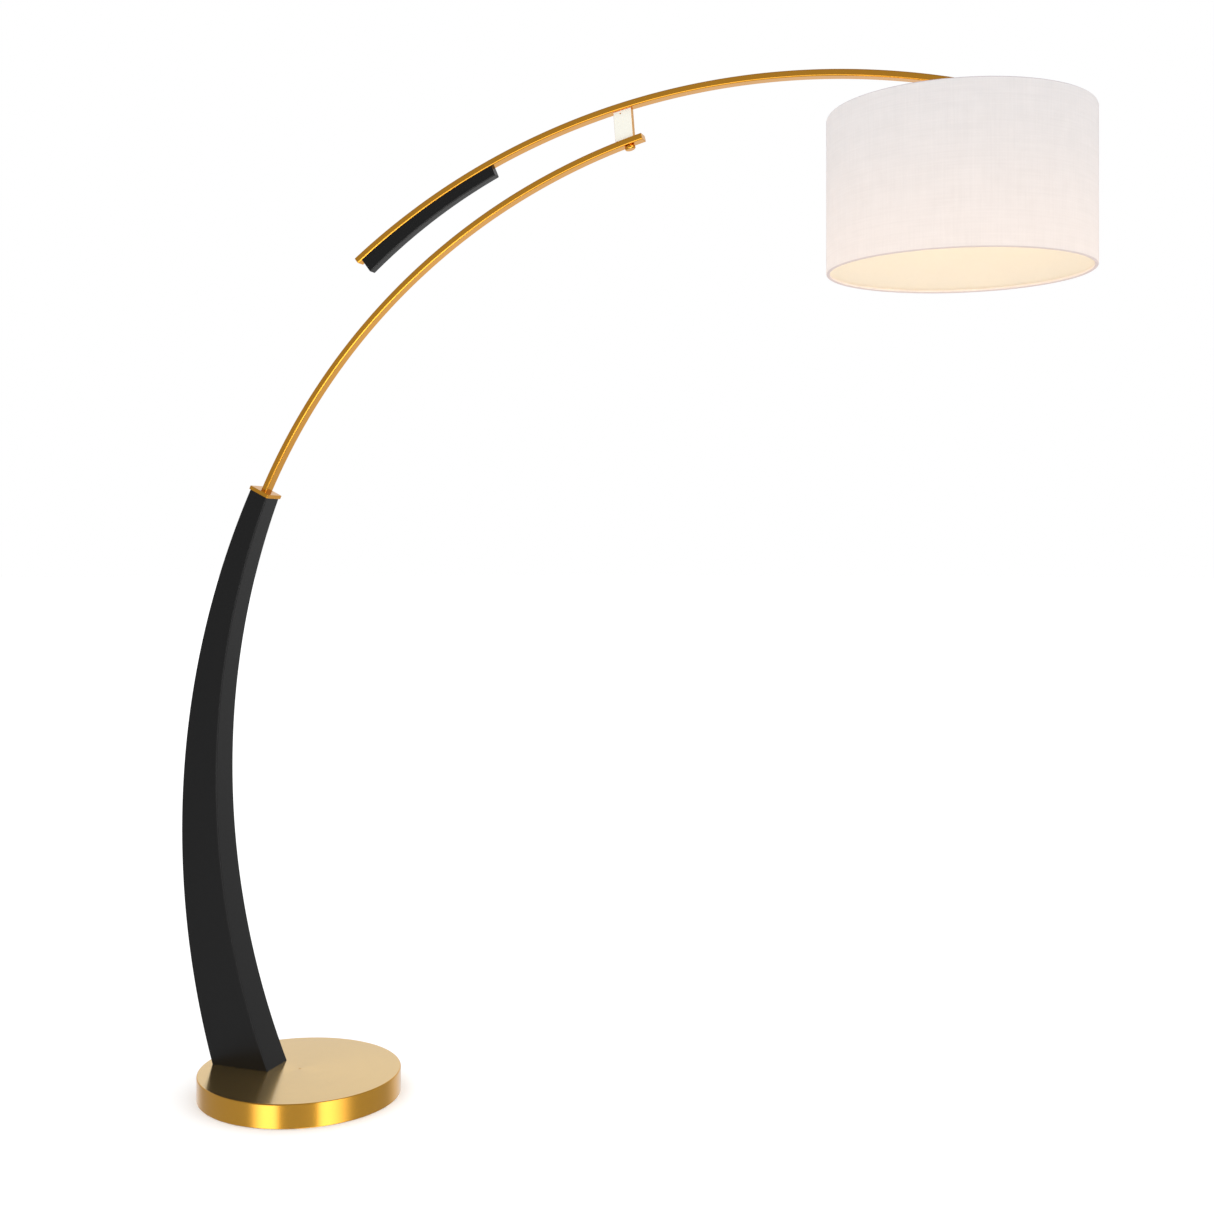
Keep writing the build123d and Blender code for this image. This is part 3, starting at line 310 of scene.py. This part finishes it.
def block_look():
    """Link block: broad faces painted pale cream as a painted highlight of bright glare on the brass, the
    narrow ones brass like the bars.
    """
    t, shader = look("polished_brass")
    coordinates = t.add("ShaderNodeTexCoord")
    grain = stretched_noise(t, coordinates.outputs["Object"], (300.0, 300.0, 900.0), 3.0)
    facing = t.split(coordinates.outputs["Normal"])[1]
    broad = t.step(t.math("ABSOLUTE", facing), 0.90, 0.99)
    brass = t.mix(grain, tint(BRASS, 0.97), tint(BRASS, 1.03))
    # painted highlight: the broad faces take a pale cream, not metal, in place of the glare on the brass
    painted_glare = t.mix(grain, PAINTED_GLARE_LOW, PAINTED_GLARE_HIGH)
    t.put(shader.inputs["Base Color"], t.mix(broad, brass, painted_glare))
    t.put(shader.inputs["Metallic"], t.math("SUBTRACT", 1.0, broad))
    extra = t.math("MULTIPLY", broad, BROAD_FACE_ROUGHNESS - EDGE_ROUGHNESS)
    t.put(shader.inputs["Roughness"], t.math("ADD", extra, EDGE_ROUGHNESS))
    bump(t, shader, grain, 0.000001, 0.1)


block_look()

GROOVES_PER_M, BANDS_PER_M = 1600.0, 40.0
PAINTED_FAN_TURN = 0.7  # radians, where the two bright sectors of painted highlight lie


def spun_top():
    """Top of the base: concentric grooves from spinning, which spread the reflections out, and two bright
    sectors of painted highlight in the colour.
    """
    t, shader = look("spun_brass")
    x, y, _ = t.split(t.add("ShaderNodeTexCoord").outputs["Object"])
    radius = t.length(x, y)
    turn = t.math("ARCTAN2", y, x)

    def rings(per_metre, detail, **settings):
        place = t.add("ShaderNodeCombineXYZ", {"X": t.math("MULTIPLY", radius, per_metre), "Y": turn})
        sockets = {"Vector": place.outputs[0], "Scale": 1.0, "Detail": detail, **settings}
        return t.add("ShaderNodeTexNoise", sockets).outputs[0]

    grooves = rings(GROOVES_PER_M, 3.0, Roughness=0.7)
    bands = rings(BANDS_PER_M, 2.0)
    # painted highlight: two bright sectors through the centre, painted into the colour together with the
    # broad rings
    painted_fan = t.math("COSINE", t.math("SUBTRACT", t.math("MULTIPLY", turn, 2.0), PAINTED_FAN_TURN))
    bands_and_painted_fan = t.math("ADD", t.math("MULTIPLY", bands, 0.4), 0.3)
    bands_and_painted_fan = t.math("ADD", t.math("MULTIPLY", painted_fan, 0.35), bands_and_painted_fan)
    t.put(shader.inputs["Base Color"], t.mix(bands_and_painted_fan, tint(LIT_TOP_BRASS, 0.92), tint(LIT_TOP_BRASS, 1.06)))
    t.put(shader.inputs["Metallic"], 0.96)
    t.put(shader.inputs["Roughness"], t.around(grooves, 0.06, 0.16))
    t.put(shader.inputs["Anisotropic"], 0.7)
    tangent = t.add("ShaderNodeTangent", direction_type="RADIAL", axis="Z")
    t.put(shader.inputs["Tangent"], tangent.outputs[0])
    t.put(shader.inputs["Coat Weight"], 0.55)
    t.put(shader.inputs["Coat Roughness"], 0.06)
    bump(t, shader, grooves, 0.000004, 0.6)


spun_top()


def plain_look(name, colour, roughness, grain, spread=0.06, dent=0.00005, **sockets):
    """Material with a fine mottled grain in colour, roughness and surface."""
    t, shader = look(name)
    place = t.add("ShaderNodeTexCoord").outputs["Object"]
    mottle = stretched_noise(t, place, (grain, grain, grain), 5.0)
    t.put(shader.inputs["Base Color"], t.mix(mottle, tint(colour, 1 - spread), tint(colour, 1 + spread)))
    t.put(shader.inputs["Roughness"], t.around(mottle, spread, roughness))
    for key, value in sockets.items():
        t.put(shader.inputs[key.replace("_", " ")], value)
    bump(t, shader, mottle, dent, 0.5)
    return t, shader


plain_look("black_lacquer", (0.0024, 0.0024, 0.0026), 0.32, 300.0, 0.06, 0.00001, Specular_IOR_Level=0.36)
plain_look("cement", (0.42, 0.41, 0.38), 0.85, 90.0, 0.25, 0.0008)
plain_look("steel", (0.62, 0.62, 0.62), 0.32, 700.0, Metallic=1.0)
plain_look("white_steel", (0.80, 0.79, 0.76), 0.38, 500.0, 0.03)
plain_look("dark_steel", (0.05, 0.04, 0.03), 0.35, 700.0, Metallic=1.0)
plain_look("felt", (0.045, 0.045, 0.045), 0.95, 1500.0, 0.4, 0.0004, Sheen_Weight=0.4)
plain_look("rubber", (0.018, 0.018, 0.018), 0.55, 900.0)
plain_look("fibre", (0.80, 0.78, 0.72), 0.5, 800.0)
plain_look("phenolic", (0.015, 0.014, 0.013), 0.32, 600.0)
plain_look("porcelain", (0.82, 0.81, 0.78), 0.4, 500.0)
plain_look("white_plastic", (0.84, 0.84, 0.81), 0.4, 500.0, 0.03)
plain_look("wire_jacket", (0.03, 0.027, 0.024), 0.5, 900.0)
plain_look(
    "frosted_glass",
    (0.95, 0.93, 0.88),
    0.45,
    300.0,
    0.02,
    Emission_Color=(1.0, 0.74, 0.44, 1.0),
    Emission_Strength=24.0,
)


def let_light_through(t, shader, share, colour):
    """Lets a share of the light pass through the sheet that the material is on."""
    glow = t.add("ShaderNodeBsdfTranslucent", {"Color": (*colour, 1.0)})
    both = t.add("ShaderNodeMixShader", {"Fac": share})
    t.put(both.inputs[1], shader.outputs[0])
    t.put(both.inputs[2], glow.outputs[0])
    output = next(node for node in t.tree.nodes if node.type == "OUTPUT_MATERIAL")
    t.put(output.inputs["Surface"], both.outputs[0])


LINEN, LINEN_WARMTH = (0.84, 0.82, 0.825), (1.0, 0.86, 0.70)
# painted shade on the hems' rolled edges and on the outline where the cloth turns from view
PAINTED_EDGE_SHADE = (0.60, 0.56, 0.60, 1.0)
THREAD = 0.0009
LAMPLIGHT, LAMPLIGHT_LEVEL = (1.0, 0.60, 0.24, 1.0), 0.13  # strongest just under the drum


def linen_look():
    """Woven cloth over the map's metres: crossing threads, a few thick ones, and light let through."""
    t, shader = look("linen")
    place = t.add("ShaderNodeUVMap").outputs[0]
    u, v, _ = t.split(place)
    waves = []
    for across in (u, v):
        phase = t.math("MULTIPLY", across, 2 * math.pi / THREAD)
        waves.append(t.math("ADD", t.math("MULTIPLY", t.math("SINE", phase), 0.5), 0.5))
    weave = t.math("MAXIMUM", *waves)
    warp = stretched_noise(t, place, (1400.0, 22.0, 1.0), 3.0)
    weft = stretched_noise(t, place, (16.0, 1500.0, 1.0), 3.0)
    thick_warp = stretched_noise(t, place, (280.0, 9.0, 1.0), 2.0, 0.5)
    thick_weft = stretched_noise(t, place, (7.0, 300.0, 1.0), 2.0, 0.5)
    slubs = t.math("ADD", warp, weft)
    thick = t.math("ADD", thick_warp, thick_weft)
    clouds = stretched_noise(t, place, (30.0, 30.0, 1.0), 3.0)
    shade = t.math(
        "ADD",
        t.math("MULTIPLY", t.math("SUBTRACT", slubs, 1.0), 0.16),
        t.math("MULTIPLY", t.math("ADD", t.math("SUBTRACT", clouds, 1.5), thick), 0.26),
    )
    shade = t.math("ADD", t.math("ADD", shade, t.math("MULTIPLY", weave, 0.05)), 0.5, clamp=True)
    cloth = t.mix(shade, tint(LINEN, 0.80), tint(LINEN, 1.16))
    z = t.split(t.add("ShaderNodeTexCoord").outputs["Object"])[2]
    middle, half = (SHADE_TOP + SHADE_BOTTOM) / 2, (SHADE_TOP - SHADE_BOTTOM) / 2
    from_middle = t.math("ABSOLUTE", t.math("SUBTRACT", z, middle))
    # painted shade: the rolled hems and the drum's outline are darkened in the colour
    hem = t.step(from_middle, half - 0.0026, half - 0.0012)
    turned_away = t.step(t.add("ShaderNodeLayerWeight", {"Blend": 0.5}).outputs["Facing"], 0.88, 1.0)
    cloth = t.mix(t.math("MAXIMUM", hem, turned_away), cloth, PAINTED_EDGE_SHADE)
    t.put(shader.inputs["Base Color"], cloth)
    t.put(shader.inputs["Emission Color"], LAMPLIGHT)
    glow = t.step(z, SHADE_BOTTOM - 0.05, SHADE_TOP, LAMPLIGHT_LEVEL, 0.0)
    t.put(shader.inputs["Emission Strength"], glow)
    t.put(shader.inputs["Roughness"], 0.85)
    t.put(shader.inputs["Sheen Weight"], 0.12)
    t.put(shader.inputs["Specular IOR Level"], 0.2)
    relief = t.math("ADD", t.math("ADD", t.math("MULTIPLY", weave, 0.6), slubs), thick)
    bump(t, shader, relief, 0.00012, 0.6)
    let_light_through(t, shader, 0.25, [c * w for c, w in zip(LINEN, LINEN_WARMTH)])


def liner_look():
    """Laminated lining: smooth cream sheet that lets a little light through."""
    t, shader = plain_look("shade_liner", (0.90, 0.87, 0.80), 0.6, 120.0, 0.02)
    let_light_through(t, shader, 0.30, (0.88, 0.82, 0.70))


linen_look()
liner_look()

# the look that each material slot of the frame takes
SLOT_LOOKS = {name: name for name in looks}
SLOT_LOOKS.update(satin_brass="turned_brass", brass_hardware="turned_brass", spun_brass="cover_side")

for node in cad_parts.values():
    for material_slot in node.material_slots:
        material_slot.material = looks[SLOT_LOOKS[material_slot.material.name]]
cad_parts["link_block"].material_slots[0].material = looks["polished_brass"]
for name in ("shade_spider", "shade_bottom_ring"):
    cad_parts[name].material_slots[0].material = looks["white_steel"]


# ======== mesh helpers ========
ACROSS = Vector((0.0, 1.0, 0.0))
SHARP_ANGLE = 32.0
WELD = 1e-6


def shade_faces(obj):
    """Smooth faces, with the edges over the sharp angle kept sharp."""
    obj.data.shade_smooth()
    obj.data.set_sharp_from_angle(angle=math.radians(SHARP_ANGLE))


def finish_mesh(obj):
    """Welds, turns the faces outward and shades them."""
    work = bmesh.new()
    work.from_mesh(obj.data)
    bmesh.ops.remove_doubles(work, verts=work.verts, dist=WELD)
    bmesh.ops.recalc_face_normals(work, faces=work.faces)
    work.to_mesh(obj.data)
    work.free()
    shade_faces(obj)
    weighted = obj.modifiers.new("weighted", "WEIGHTED_NORMAL")
    weighted.keep_sharp = True


def add_piece(obj, material, body, slot, *nodes):
    """Puts a finished piece on its body, in place of the CAD nodes that it stands for."""
    if not obj.data.materials:
        obj.data.materials.append(looks[material])
    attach(obj, body)
    if nodes:
        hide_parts(*nodes)
    return obj


def running(points):
    """Distance run along a list of points, starting at 0."""
    total = [0.0]
    for a, b in zip(points, points[1:]):
        total.append(total[-1] + (Vector(b) - Vector(a)).length)
    return total


def flat_map(points):
    """Two coordinates in metres for each point of a flat loop."""
    centre = sum((Vector(p) for p in points), Vector()) / len(points)
    first = (Vector(points[0]) - centre).normalized()
    normal = (Vector(points[1]) - centre).cross(first).normalized()
    second = normal.cross(first)
    return [((Vector(p) - centre).dot(first), (Vector(p) - centre).dot(second)) for p in points]


def skin(name, loops, wrap=False, caps=True):
    """Mesh that joins each closed loop of points to the next, mapped in metres: U along, V around."""
    count = len(loops[0])
    rows = loops + [loops[0]] if wrap else loops
    along = running([row[0] for row in rows])
    around = running(loops[0] + [loops[0][0]])
    faces, maps = [], []
    for i in range(len(rows) - 1):
        here, there = i * count, (i + 1) % len(loops) * count
        for j in range(count):
            k = (j + 1) % count
            faces.append((here + j, here + k, there + k, there + j))
            corners = ((i, j), (i, j + 1), (i + 1, j + 1), (i + 1, j))
            maps.append([(along[a], around[b]) for a, b in corners])
    if caps and not wrap:
        for row in (0, len(loops) - 1):
            faces.append(tuple(range(row * count, (row + 1) * count)))
            maps.append(flat_map(loops[row]))
    mesh = bpy.data.meshes.new(name)
    mesh.from_pydata([tuple(p) for loop in loops for p in loop], [], faces)
    layer = mesh.uv_layers.new(name="UVMap")
    layer.data.foreach_set("uv", [c for face in maps for uv in face for c in uv])
    obj = bpy.data.objects.new(name, mesh)
    bpy.context.scene.collection.objects.link(obj)
    finish_mesh(obj)
    return obj


def turned(name, profile, segments, centre=(0.0, 0.0)):
    """Mesh of an outline of (radius, height) points turned about a vertical axis."""
    loops = []
    for i in range(segments):
        a = 2 * math.pi * i / segments
        x, y = math.cos(a), math.sin(a)
        loops.append([(centre[0] + r * x, centre[1] + r * y, z) for r, z in profile])
    return skin(name, loops, wrap=True)


def rounding(cx, cz, radius, start, end, steps):
    """Points along an arc, angles in degrees."""
    angles = [math.radians(start + (end - start) * i / steps) for i in range(steps + 1)]
    return [(cx + radius * math.cos(a), cz + radius * math.sin(a)) for a in angles]


# sides of each corner of a rectangle, and where its rounding starts, in degrees
CORNERS = ((1, 1, 0), (-1, 1, 90), (-1, -1, 180), (1, -1, 270))


def rounded_rectangle(width, height, radius, steps=6):
    """Closed outline of a rectangle with round corners, about the origin."""
    points = []
    for sx, sy, start in CORNERS:
        x, y = sx * (width / 2 - radius), sy * (height / 2 - radius)
        points += rounding(x, y, radius, start, start + 90, steps)
    return points


def arc_point(centre, radius, degrees, y=0.0):
    """Point on an arc of the lamp's plane, moved across it by y."""
    a = math.radians(degrees)
    return Vector((centre[0] + radius * math.cos(a), y, centre[1] + radius * math.sin(a)))


def onward(degrees):
    """Unit vector along an arc at an angle, from the column towards the shade."""
    return arc_point((0.0, 0.0), 1.0, degrees - 90.0)


def outward(degrees):
    """Unit vector away from an arc's centre at an angle."""
    return arc_point((0.0, 0.0), 1.0, degrees)


def cut(obj, *tools):
    """Takes the tools' shapes away from a piece."""
    for tool in tools:
        modifier = obj.modifiers.new("cut", "BOOLEAN")
        modifier.operation = "DIFFERENCE"
        modifier.solver = "EXACT"
        modifier.object = tool
        bpy.context.view_layer.objects.active = obj
        bpy.ops.object.modifier_move_to_index(modifier="cut", index=0)
        bpy.ops.object.modifier_apply(modifier="cut")
        bpy.data.objects.remove(tool)
    shade_faces(obj)


def placed(points, origin, x_dir, y_dir):
    """Flat (x, y) points, laid out in space."""
    return [origin + x_dir * x + y_dir * y for x, y in points]


def prism(name, points, start, end, axis, x_dir):
    """Straight prism: flat (x, y) points in the plane across axis, from start to end along it."""
    z_dir = Vector(axis).normalized()
    x_dir = (Vector(x_dir) - z_dir * Vector(x_dir).dot(z_dir)).normalized()
    y_dir = z_dir.cross(x_dir)
    return skin(name, [placed(points, Vector(end_mid), x_dir, y_dir) for end_mid in (start, end)])


def ring_points(radius, count):
    """Corners of a regular polygon, or of a circle."""
    return rounding(0.0, 0.0, radius, 0.0, 360.0 * (count - 1) / count, count - 1)


# ======== base ========
def build_cover():
    """Spun shell of the base: mark of the centre, rolled top edge, side, and a turned-in foot."""
    top, edge, foot = BASE_TOP, 0.0025, 0.0008
    mark, steps = 0.0026, 24
    profile = [(0.0, top - 0.0012), (0.0008, top - 0.0010), (0.0020, top - 0.0002), (mark, top)]
    profile += [(mark + (BASE_R - edge - mark) * i / steps, top) for i in range(1, steps)]
    profile += rounding(BASE_R - edge, top - edge, edge, 90, 0, 10)
    profile += [(BASE_R, z) for z in (top * 0.66, top * 0.33)]
    profile += rounding(BASE_R - foot, COVER_RIM + foot, foot, 0, -90, 4)
    inner = BASE_R - BASE_SKIN
    profile += [(inner, COVER_RIM), (inner, top - BASE_SKIN), (0.0, top - BASE_SKIN)]
    cover = turned("base_shell", profile, 288)
    reach = 0.01
    outside, inside = (-BASE_R - reach, 0.0, INLET_Z), (-BASE_R + reach, 0.0, INLET_Z)
    cut(cover, prism("inlet_hole", ring_points(INLET_R, 40), outside, inside, (1.0, 0.0, 0.0), ACROSS))
    cover.data.materials.append(looks["cover_side"])
    cover.data.materials.append(looks["spun_brass"])
    for face in cover.data.polygons:
        face.material_index = int(face.normal.z > 0.98 and face.center.z > top - 0.0005)
    add_piece(cover, "cover_side", "stand", "spun_brass", "base_cover")


build_cover()


# ======== column and its cap ========
def circle_hit(origin, direction, centre, radius):
    """Where a line in the arc plane leaves a circle, towards direction."""
    gap = Vector((origin.x - centre[0], 0.0, origin.z - centre[1]))
    along = gap.dot(direction)
    return origin + direction * (-along + math.sqrt(along**2 - gap.dot(gap) + radius**2))


def half_width(z):
    """Half of the column's width across the lamp's plane, at a height."""
    share = (z - BASE_TOP) / (TAPER_TOP - BASE_TOP)
    return (COLUMN_FOOT_W + (COLUMN_TOP_W - COLUMN_FOOT_W) * share) / 2


def column_section(origin, direction):
    """Rounded section of the column where a line through origin crosses its two curves."""
    outer = circle_hit(origin, direction, COLUMN_OUTER, COLUMN_OUTER_R)
    inner = circle_hit(origin, direction, COLUMN_INNER, COLUMN_INNER_R)
    depth = (outer - inner).length
    points = []
    for x, y, start in CORNERS:
        corner_x = depth / 2 + x * (depth / 2 - COLUMN_EDGE)
        for px, py in rounding(corner_x, 0.0, COLUMN_EDGE, start, start + 90, 7):
            spot = inner + (outer - inner).normalized() * px
            spot.y = y * (half_width(spot.z) - COLUMN_EDGE) + py
            points.append(spot)
    return points


def build_column():
    """Curved, tapering post, cut level at its foot and square to the bar at its top."""
    top_mid = arc_point(LOWER, LOWER_R, LOWER_FOOT) - onward(LOWER_FOOT) * CAP_T
    foot_mid = Vector((-0.123, 0.0, BASE_TOP))
    bow = Vector((-0.223, 0.0, 0.62))
    loops = []
    stations = 150
    for i in range(stations + 1):
        s = i / stations
        # a rough middle line is enough, as each section finds both curves by itself
        spot = foot_mid * (1 - s) ** 2 + bow * 2 * s * (1 - s) + top_mid * s**2
        loops.append(column_section(spot, outward(180.0 + (LOWER_FOOT - 180.0) * s)))
    column = skin("column_post", loops)
    add_piece(column, "black_lacquer", "stand", "black_lacquer", "column")


def build_cap():
    """Plate with a rolled rim, open in the middle for the bar."""
    out, up = outward(LOWER_FOOT), onward(LOWER_FOOT)
    top = arc_point(LOWER, LOWER_R, LOWER_FOOT)
    rim, chamfer, gap = 0.0010, 0.0003, 0.0001
    levels = [(chamfer, -CAP_T), (0.0, -CAP_T + chamfer)]
    levels += [(rim - x, z - rim) for x, z in rounding(0.0, 0.0, rim, 0, 90, 6)]
    loops = []
    for inset, height in levels:
        outline = rounded_rectangle(CAP_W - 2 * inset, CAP_L - 2 * inset, 0.002 - inset * 0.9)
        loops.append(placed(outline, top + out * CAP_SHIFT + up * height, ACROSS, out))
    hole = rounded_rectangle(BAR_W + 2 * gap, BAR_T + 2 * gap, BAR_EDGE + gap)
    loops.append(placed(hole, top, ACROSS, out))
    loops.append(placed(hole, top - up * CAP_T, ACROSS, out))
    cap = skin("cap_plate", loops, wrap=True)
    add_piece(cap, "satin_brass", "stand", "satin_brass", "column_cap")


def screw_head(name, places, radius, rise, drive, depth, body, slot, node):
    """Domed heads on (place, direction) pairs, with a slot or a hexagonal recess to drive them by."""
    sides, rows, sunk, slot_half = 32, 7, 0.002, 0.0004
    levels = [(radius * 0.6, -sunk), (radius, 0.0)]
    for i in range(1, rows):
        a = math.radians(90 * i / rows)
        levels.append((radius * math.cos(a), rise * math.sin(a)))
    if drive == "slot":
        end = 1.1 * radius
        recess = [(-end, -slot_half), (end, -slot_half), (end, slot_half), (-end, slot_half)]
    else:
        recess = ring_points(radius * 0.45, 6)
    heads = []
    for place, up in places:
        side = ACROSS if abs(up.y) < 0.5 else Vector((1, 0, 0))
        other = up.cross(side)
        head = skin(name, [placed(ring_points(r, sides), place + up * h, side, other) for r, h in levels])
        cut(head, prism("recess", recess, place + up * (rise - depth), place + up * 0.01, up, side))
        heads.append(head)
    if len(heads) > 1:
        with bpy.context.temp_override(active_object=heads[0], selected_editable_objects=heads):
            bpy.ops.object.join()
    heads[0].name = name
    add_piece(heads[0], "turned_brass", body, slot, node)


build_column()
build_cap()
foot_top = arc_point(LOWER, LOWER_R, LOWER_FOOT)
screw_head(
    "cap_screw_heads",
    [(foot_top + ACROSS * side * CAP_SCREW_Y, onward(LOWER_FOOT)) for side in (-1, 1)],
    radius=0.0033,
    rise=0.0008,
    drive="slot",
    depth=0.0009,
    body="stand",
    slot="brass_hardware",
    node="cap_screws",
)


# ======== arcs ========
def bar_loop(centre, radius, degrees, inset=0.0):
    """Section of a bar at an angle of its arc, smaller all round by inset."""
    least_edge = 0.0004
    outline = rounded_rectangle(BAR_W - 2 * inset, BAR_T - 2 * inset, max(BAR_EDGE - inset, least_edge))
    return placed(outline, arc_point(centre, radius, degrees), ACROSS, outward(degrees))


def build_bar(name, centre, radius, tail, tip, body, node):
    """Curved tube, open at both ends, with its wall and four rows of faces to a degree."""
    steps = int((tail - tip) * 4)
    angles = [tail + (tip - tail) * i / steps for i in range(steps + 1)]
    loops = [bar_loop(centre, radius, a) for a in angles]
    loops += [bar_loop(centre, radius, a, BAR_WALL) for a in reversed(angles)]
    bar = skin(name, loops, wrap=True)
    add_piece(bar, "satin_brass", body, "satin_brass", node)


def build_plug(name, centre, radius, degrees, turn, body, node):
    """End plug with rolled edges: turn is 1 towards the shade and -1 at a tail."""
    flange, edge, depth, seat = 0.002, 0.0011, 0.010, BAR_WALL + 0.0001
    ahead = onward(degrees) * turn
    levels = [(seat, -depth), (seat, 0.0), (0.0, 0.0), (0.0, flange - edge)]
    levels += [(edge - x, flange - edge + z) for x, z in rounding(0.0, 0.0, edge, 0, 90, 6)[1:]]
    loops = []
    for inset, shift in levels:
        loops.append([p + ahead * shift for p in bar_loop(centre, radius, degrees, inset)])
    plug = skin(name, loops)
    add_piece(plug, "satin_brass", body, "satin_brass", node)


build_bar("lower_bar", LOWER, LOWER_R, LOWER_TAIL, LOWER_TIP, "stand", "lower_arc")
build_bar("upper_bar", UPPER, UPPER_R, UPPER_TAIL, UPPER_TIP, "arm", "upper_arc")
build_plug("lower_tip_cap", LOWER, LOWER_R, LOWER_TIP, 1, "stand", "lower_tip_plug")
build_plug("upper_tip_cap", UPPER, UPPER_R, UPPER_TIP, 1, "arm", "upper_tip_plug")
build_plug("upper_tail_cap", UPPER, UPPER_R, UPPER_TAIL, -1, "arm", "upper_tail_plug")


def build_grip():
    """Black grip under the tail: deep at the bar's end, shallow at the other, edges rolled."""
    edge, end_roll, sunk = 0.0020, 0.0012, 0.0001
    span = GRIP_START - GRIP_END
    roll = math.degrees(end_roll / UPPER_UNDER)
    end = [(roll * s, end_roll * (1 - math.sqrt(1 - (1 - s) ** 2))) for s in (0.0, 0.1, 0.3, 0.6, 1.0)]
    steps = 90
    inside = [(roll + (span - 2 * roll) * i / steps, 0.0) for i in range(1, steps)]
    loops = []
    for turn, inset in end + inside + [(span - turn, inset) for turn, inset in reversed(end)]:
        share = turn / span
        depth = GRIP_DEEP + (GRIP_SHALLOW - GRIP_DEEP) * share - 4 * share * (1 - share) * GRIP_BELLY
        low, half = UPPER_UNDER - depth + inset, GRIP_W / 2 - inset
        outline = [(half, UPPER_UNDER - sunk), (-half, UPPER_UNDER - sunk)]
        outline += rounding(-half + edge, low + edge, edge, 180, 270, 6)
        outline += rounding(half - edge, low + edge, edge, 270, 360, 6)
        loops.append([arc_point(UPPER, r, GRIP_START - turn, y) for y, r in outline])
    grip = skin("tail_handle", loops)
    add_piece(grip, "black_lacquer", "arm", "black_lacquer", "tail_grip")


build_grip()
screw_head(
    "grip_screw_heads",
    [(arc_point(UPPER, UPPER_R + BAR_T / 2, a), outward(a)) for a in GRIP_SCREWS],
    radius=0.0038,
    rise=0.0014,
    drive="hex",
    depth=0.0012,
    body="arm",
    slot="brass_hardware",
    node="grip_screws",
)
set_face = Vector(((set_lo.x + set_hi.x) / 2, set_lo.y + 0.0006, (set_lo.z + set_hi.z) / 2))
screw_head(
    "link_screw_head",
    [(set_face, -ACROSS)],
    radius=0.00145,
    rise=0.0003,
    drive="hex",
    depth=0.0009,
    body="arm",
    slot="dark_steel",
    node="link_set_screw",
)


# ======== shade ========
def thick_line(points, thickness):
    """Closed outline around an open line, half the thickness to each side."""
    left, right = [], []
    for i, (x, y) in enumerate(points):
        before, after = points[max(i - 1, 0)], points[min(i + 1, len(points) - 1)]
        dx, dy = after[0] - before[0], after[1] - before[1]
        length = math.hypot(dx, dy)
        nx, ny = -dy / length * thickness / 2, dx / length * thickness / 2
        left.append((x + nx, y + ny))
        right.append((x - nx, y - ny))
    return left + right[::-1]


HEM_R = 0.003  # the cloth's middle line round the wire ring
HEM_WRAP = 285  # how far it goes round, in degrees
SEAM_AT = 115.0  # where the cloth's ends overlap, on the side away from the front
SEAM_W = 0.012
SEAM_LIFT = 0.0004


def build_shade():
    """Linen drum: one strip of cloth that wraps a wire ring at each end, and overlaps itself at a seam."""
    wall = SHADE_R - FABRIC_T / 2
    ring = wall - HEM_R
    low, high = SHADE_BOTTOM + FABRIC_T / 2 + HEM_R, SHADE_TOP - FABRIC_T / 2 - HEM_R
    rows, hem_rows, segments = 40, 22, 300
    line = rounding(ring, low, HEM_R, -HEM_WRAP, 0, hem_rows)
    line += [(wall, low + (high - low) * i / rows) for i in range(1, rows)]
    line += rounding(ring, high, HEM_R, 0, HEM_WRAP, hem_rows)
    profile = thick_line(line, FABRIC_T)
    seam = SEAM_W / SHADE_R
    start = math.radians(SEAM_AT)
    turns = [(start + seam + (2 * math.pi - seam) * i / segments, 0.0) for i in range(1, segments + 1)]
    turns += [(start + 2 * math.pi + seam * s, SEAM_LIFT) for s in (0.03, 0.35, 0.65, 0.97)]
    loops = []
    for a, lift in turns:
        spots = [(r + lift * (r > ring), z) for r, z in profile]
        loops.append([(HEAD_X + r * math.cos(a), r * math.sin(a), z) for r, z in spots])
    shade = skin("linen_drum", loops, wrap=True)
    mapped_r = ring + HEM_R * math.cos(math.radians(HEM_WRAP))  # where skin measures the way along
    for item in shade.data.uv_layers.active.data:
        item.uv = (item.uv[0] * SHADE_R / mapped_r, item.uv[1])
    add_piece(shade, "linen", "head", "linen", "shade_fabric")


def build_liner():
    """Stiff sheet behind the cloth, between the two hems."""
    gap, thickness, hem, rows = 0.0001, 0.0006, 0.0046, 20
    outer = SHADE_R - FABRIC_T - gap
    inner = outer - thickness
    low, high = SHADE_BOTTOM + hem, SHADE_TOP - hem
    profile = [(outer, low + (high - low) * i / rows) for i in range(rows + 1)]
    profile += [(inner, high - (high - low) * i / rows) for i in range(rows + 1)]
    liner = turned("shade_lining", profile, 240, (HEAD_X, 0.0))
    add_piece(liner, "shade_liner", "head", "shade_liner", "shade_liner")


build_shade()
build_liner()
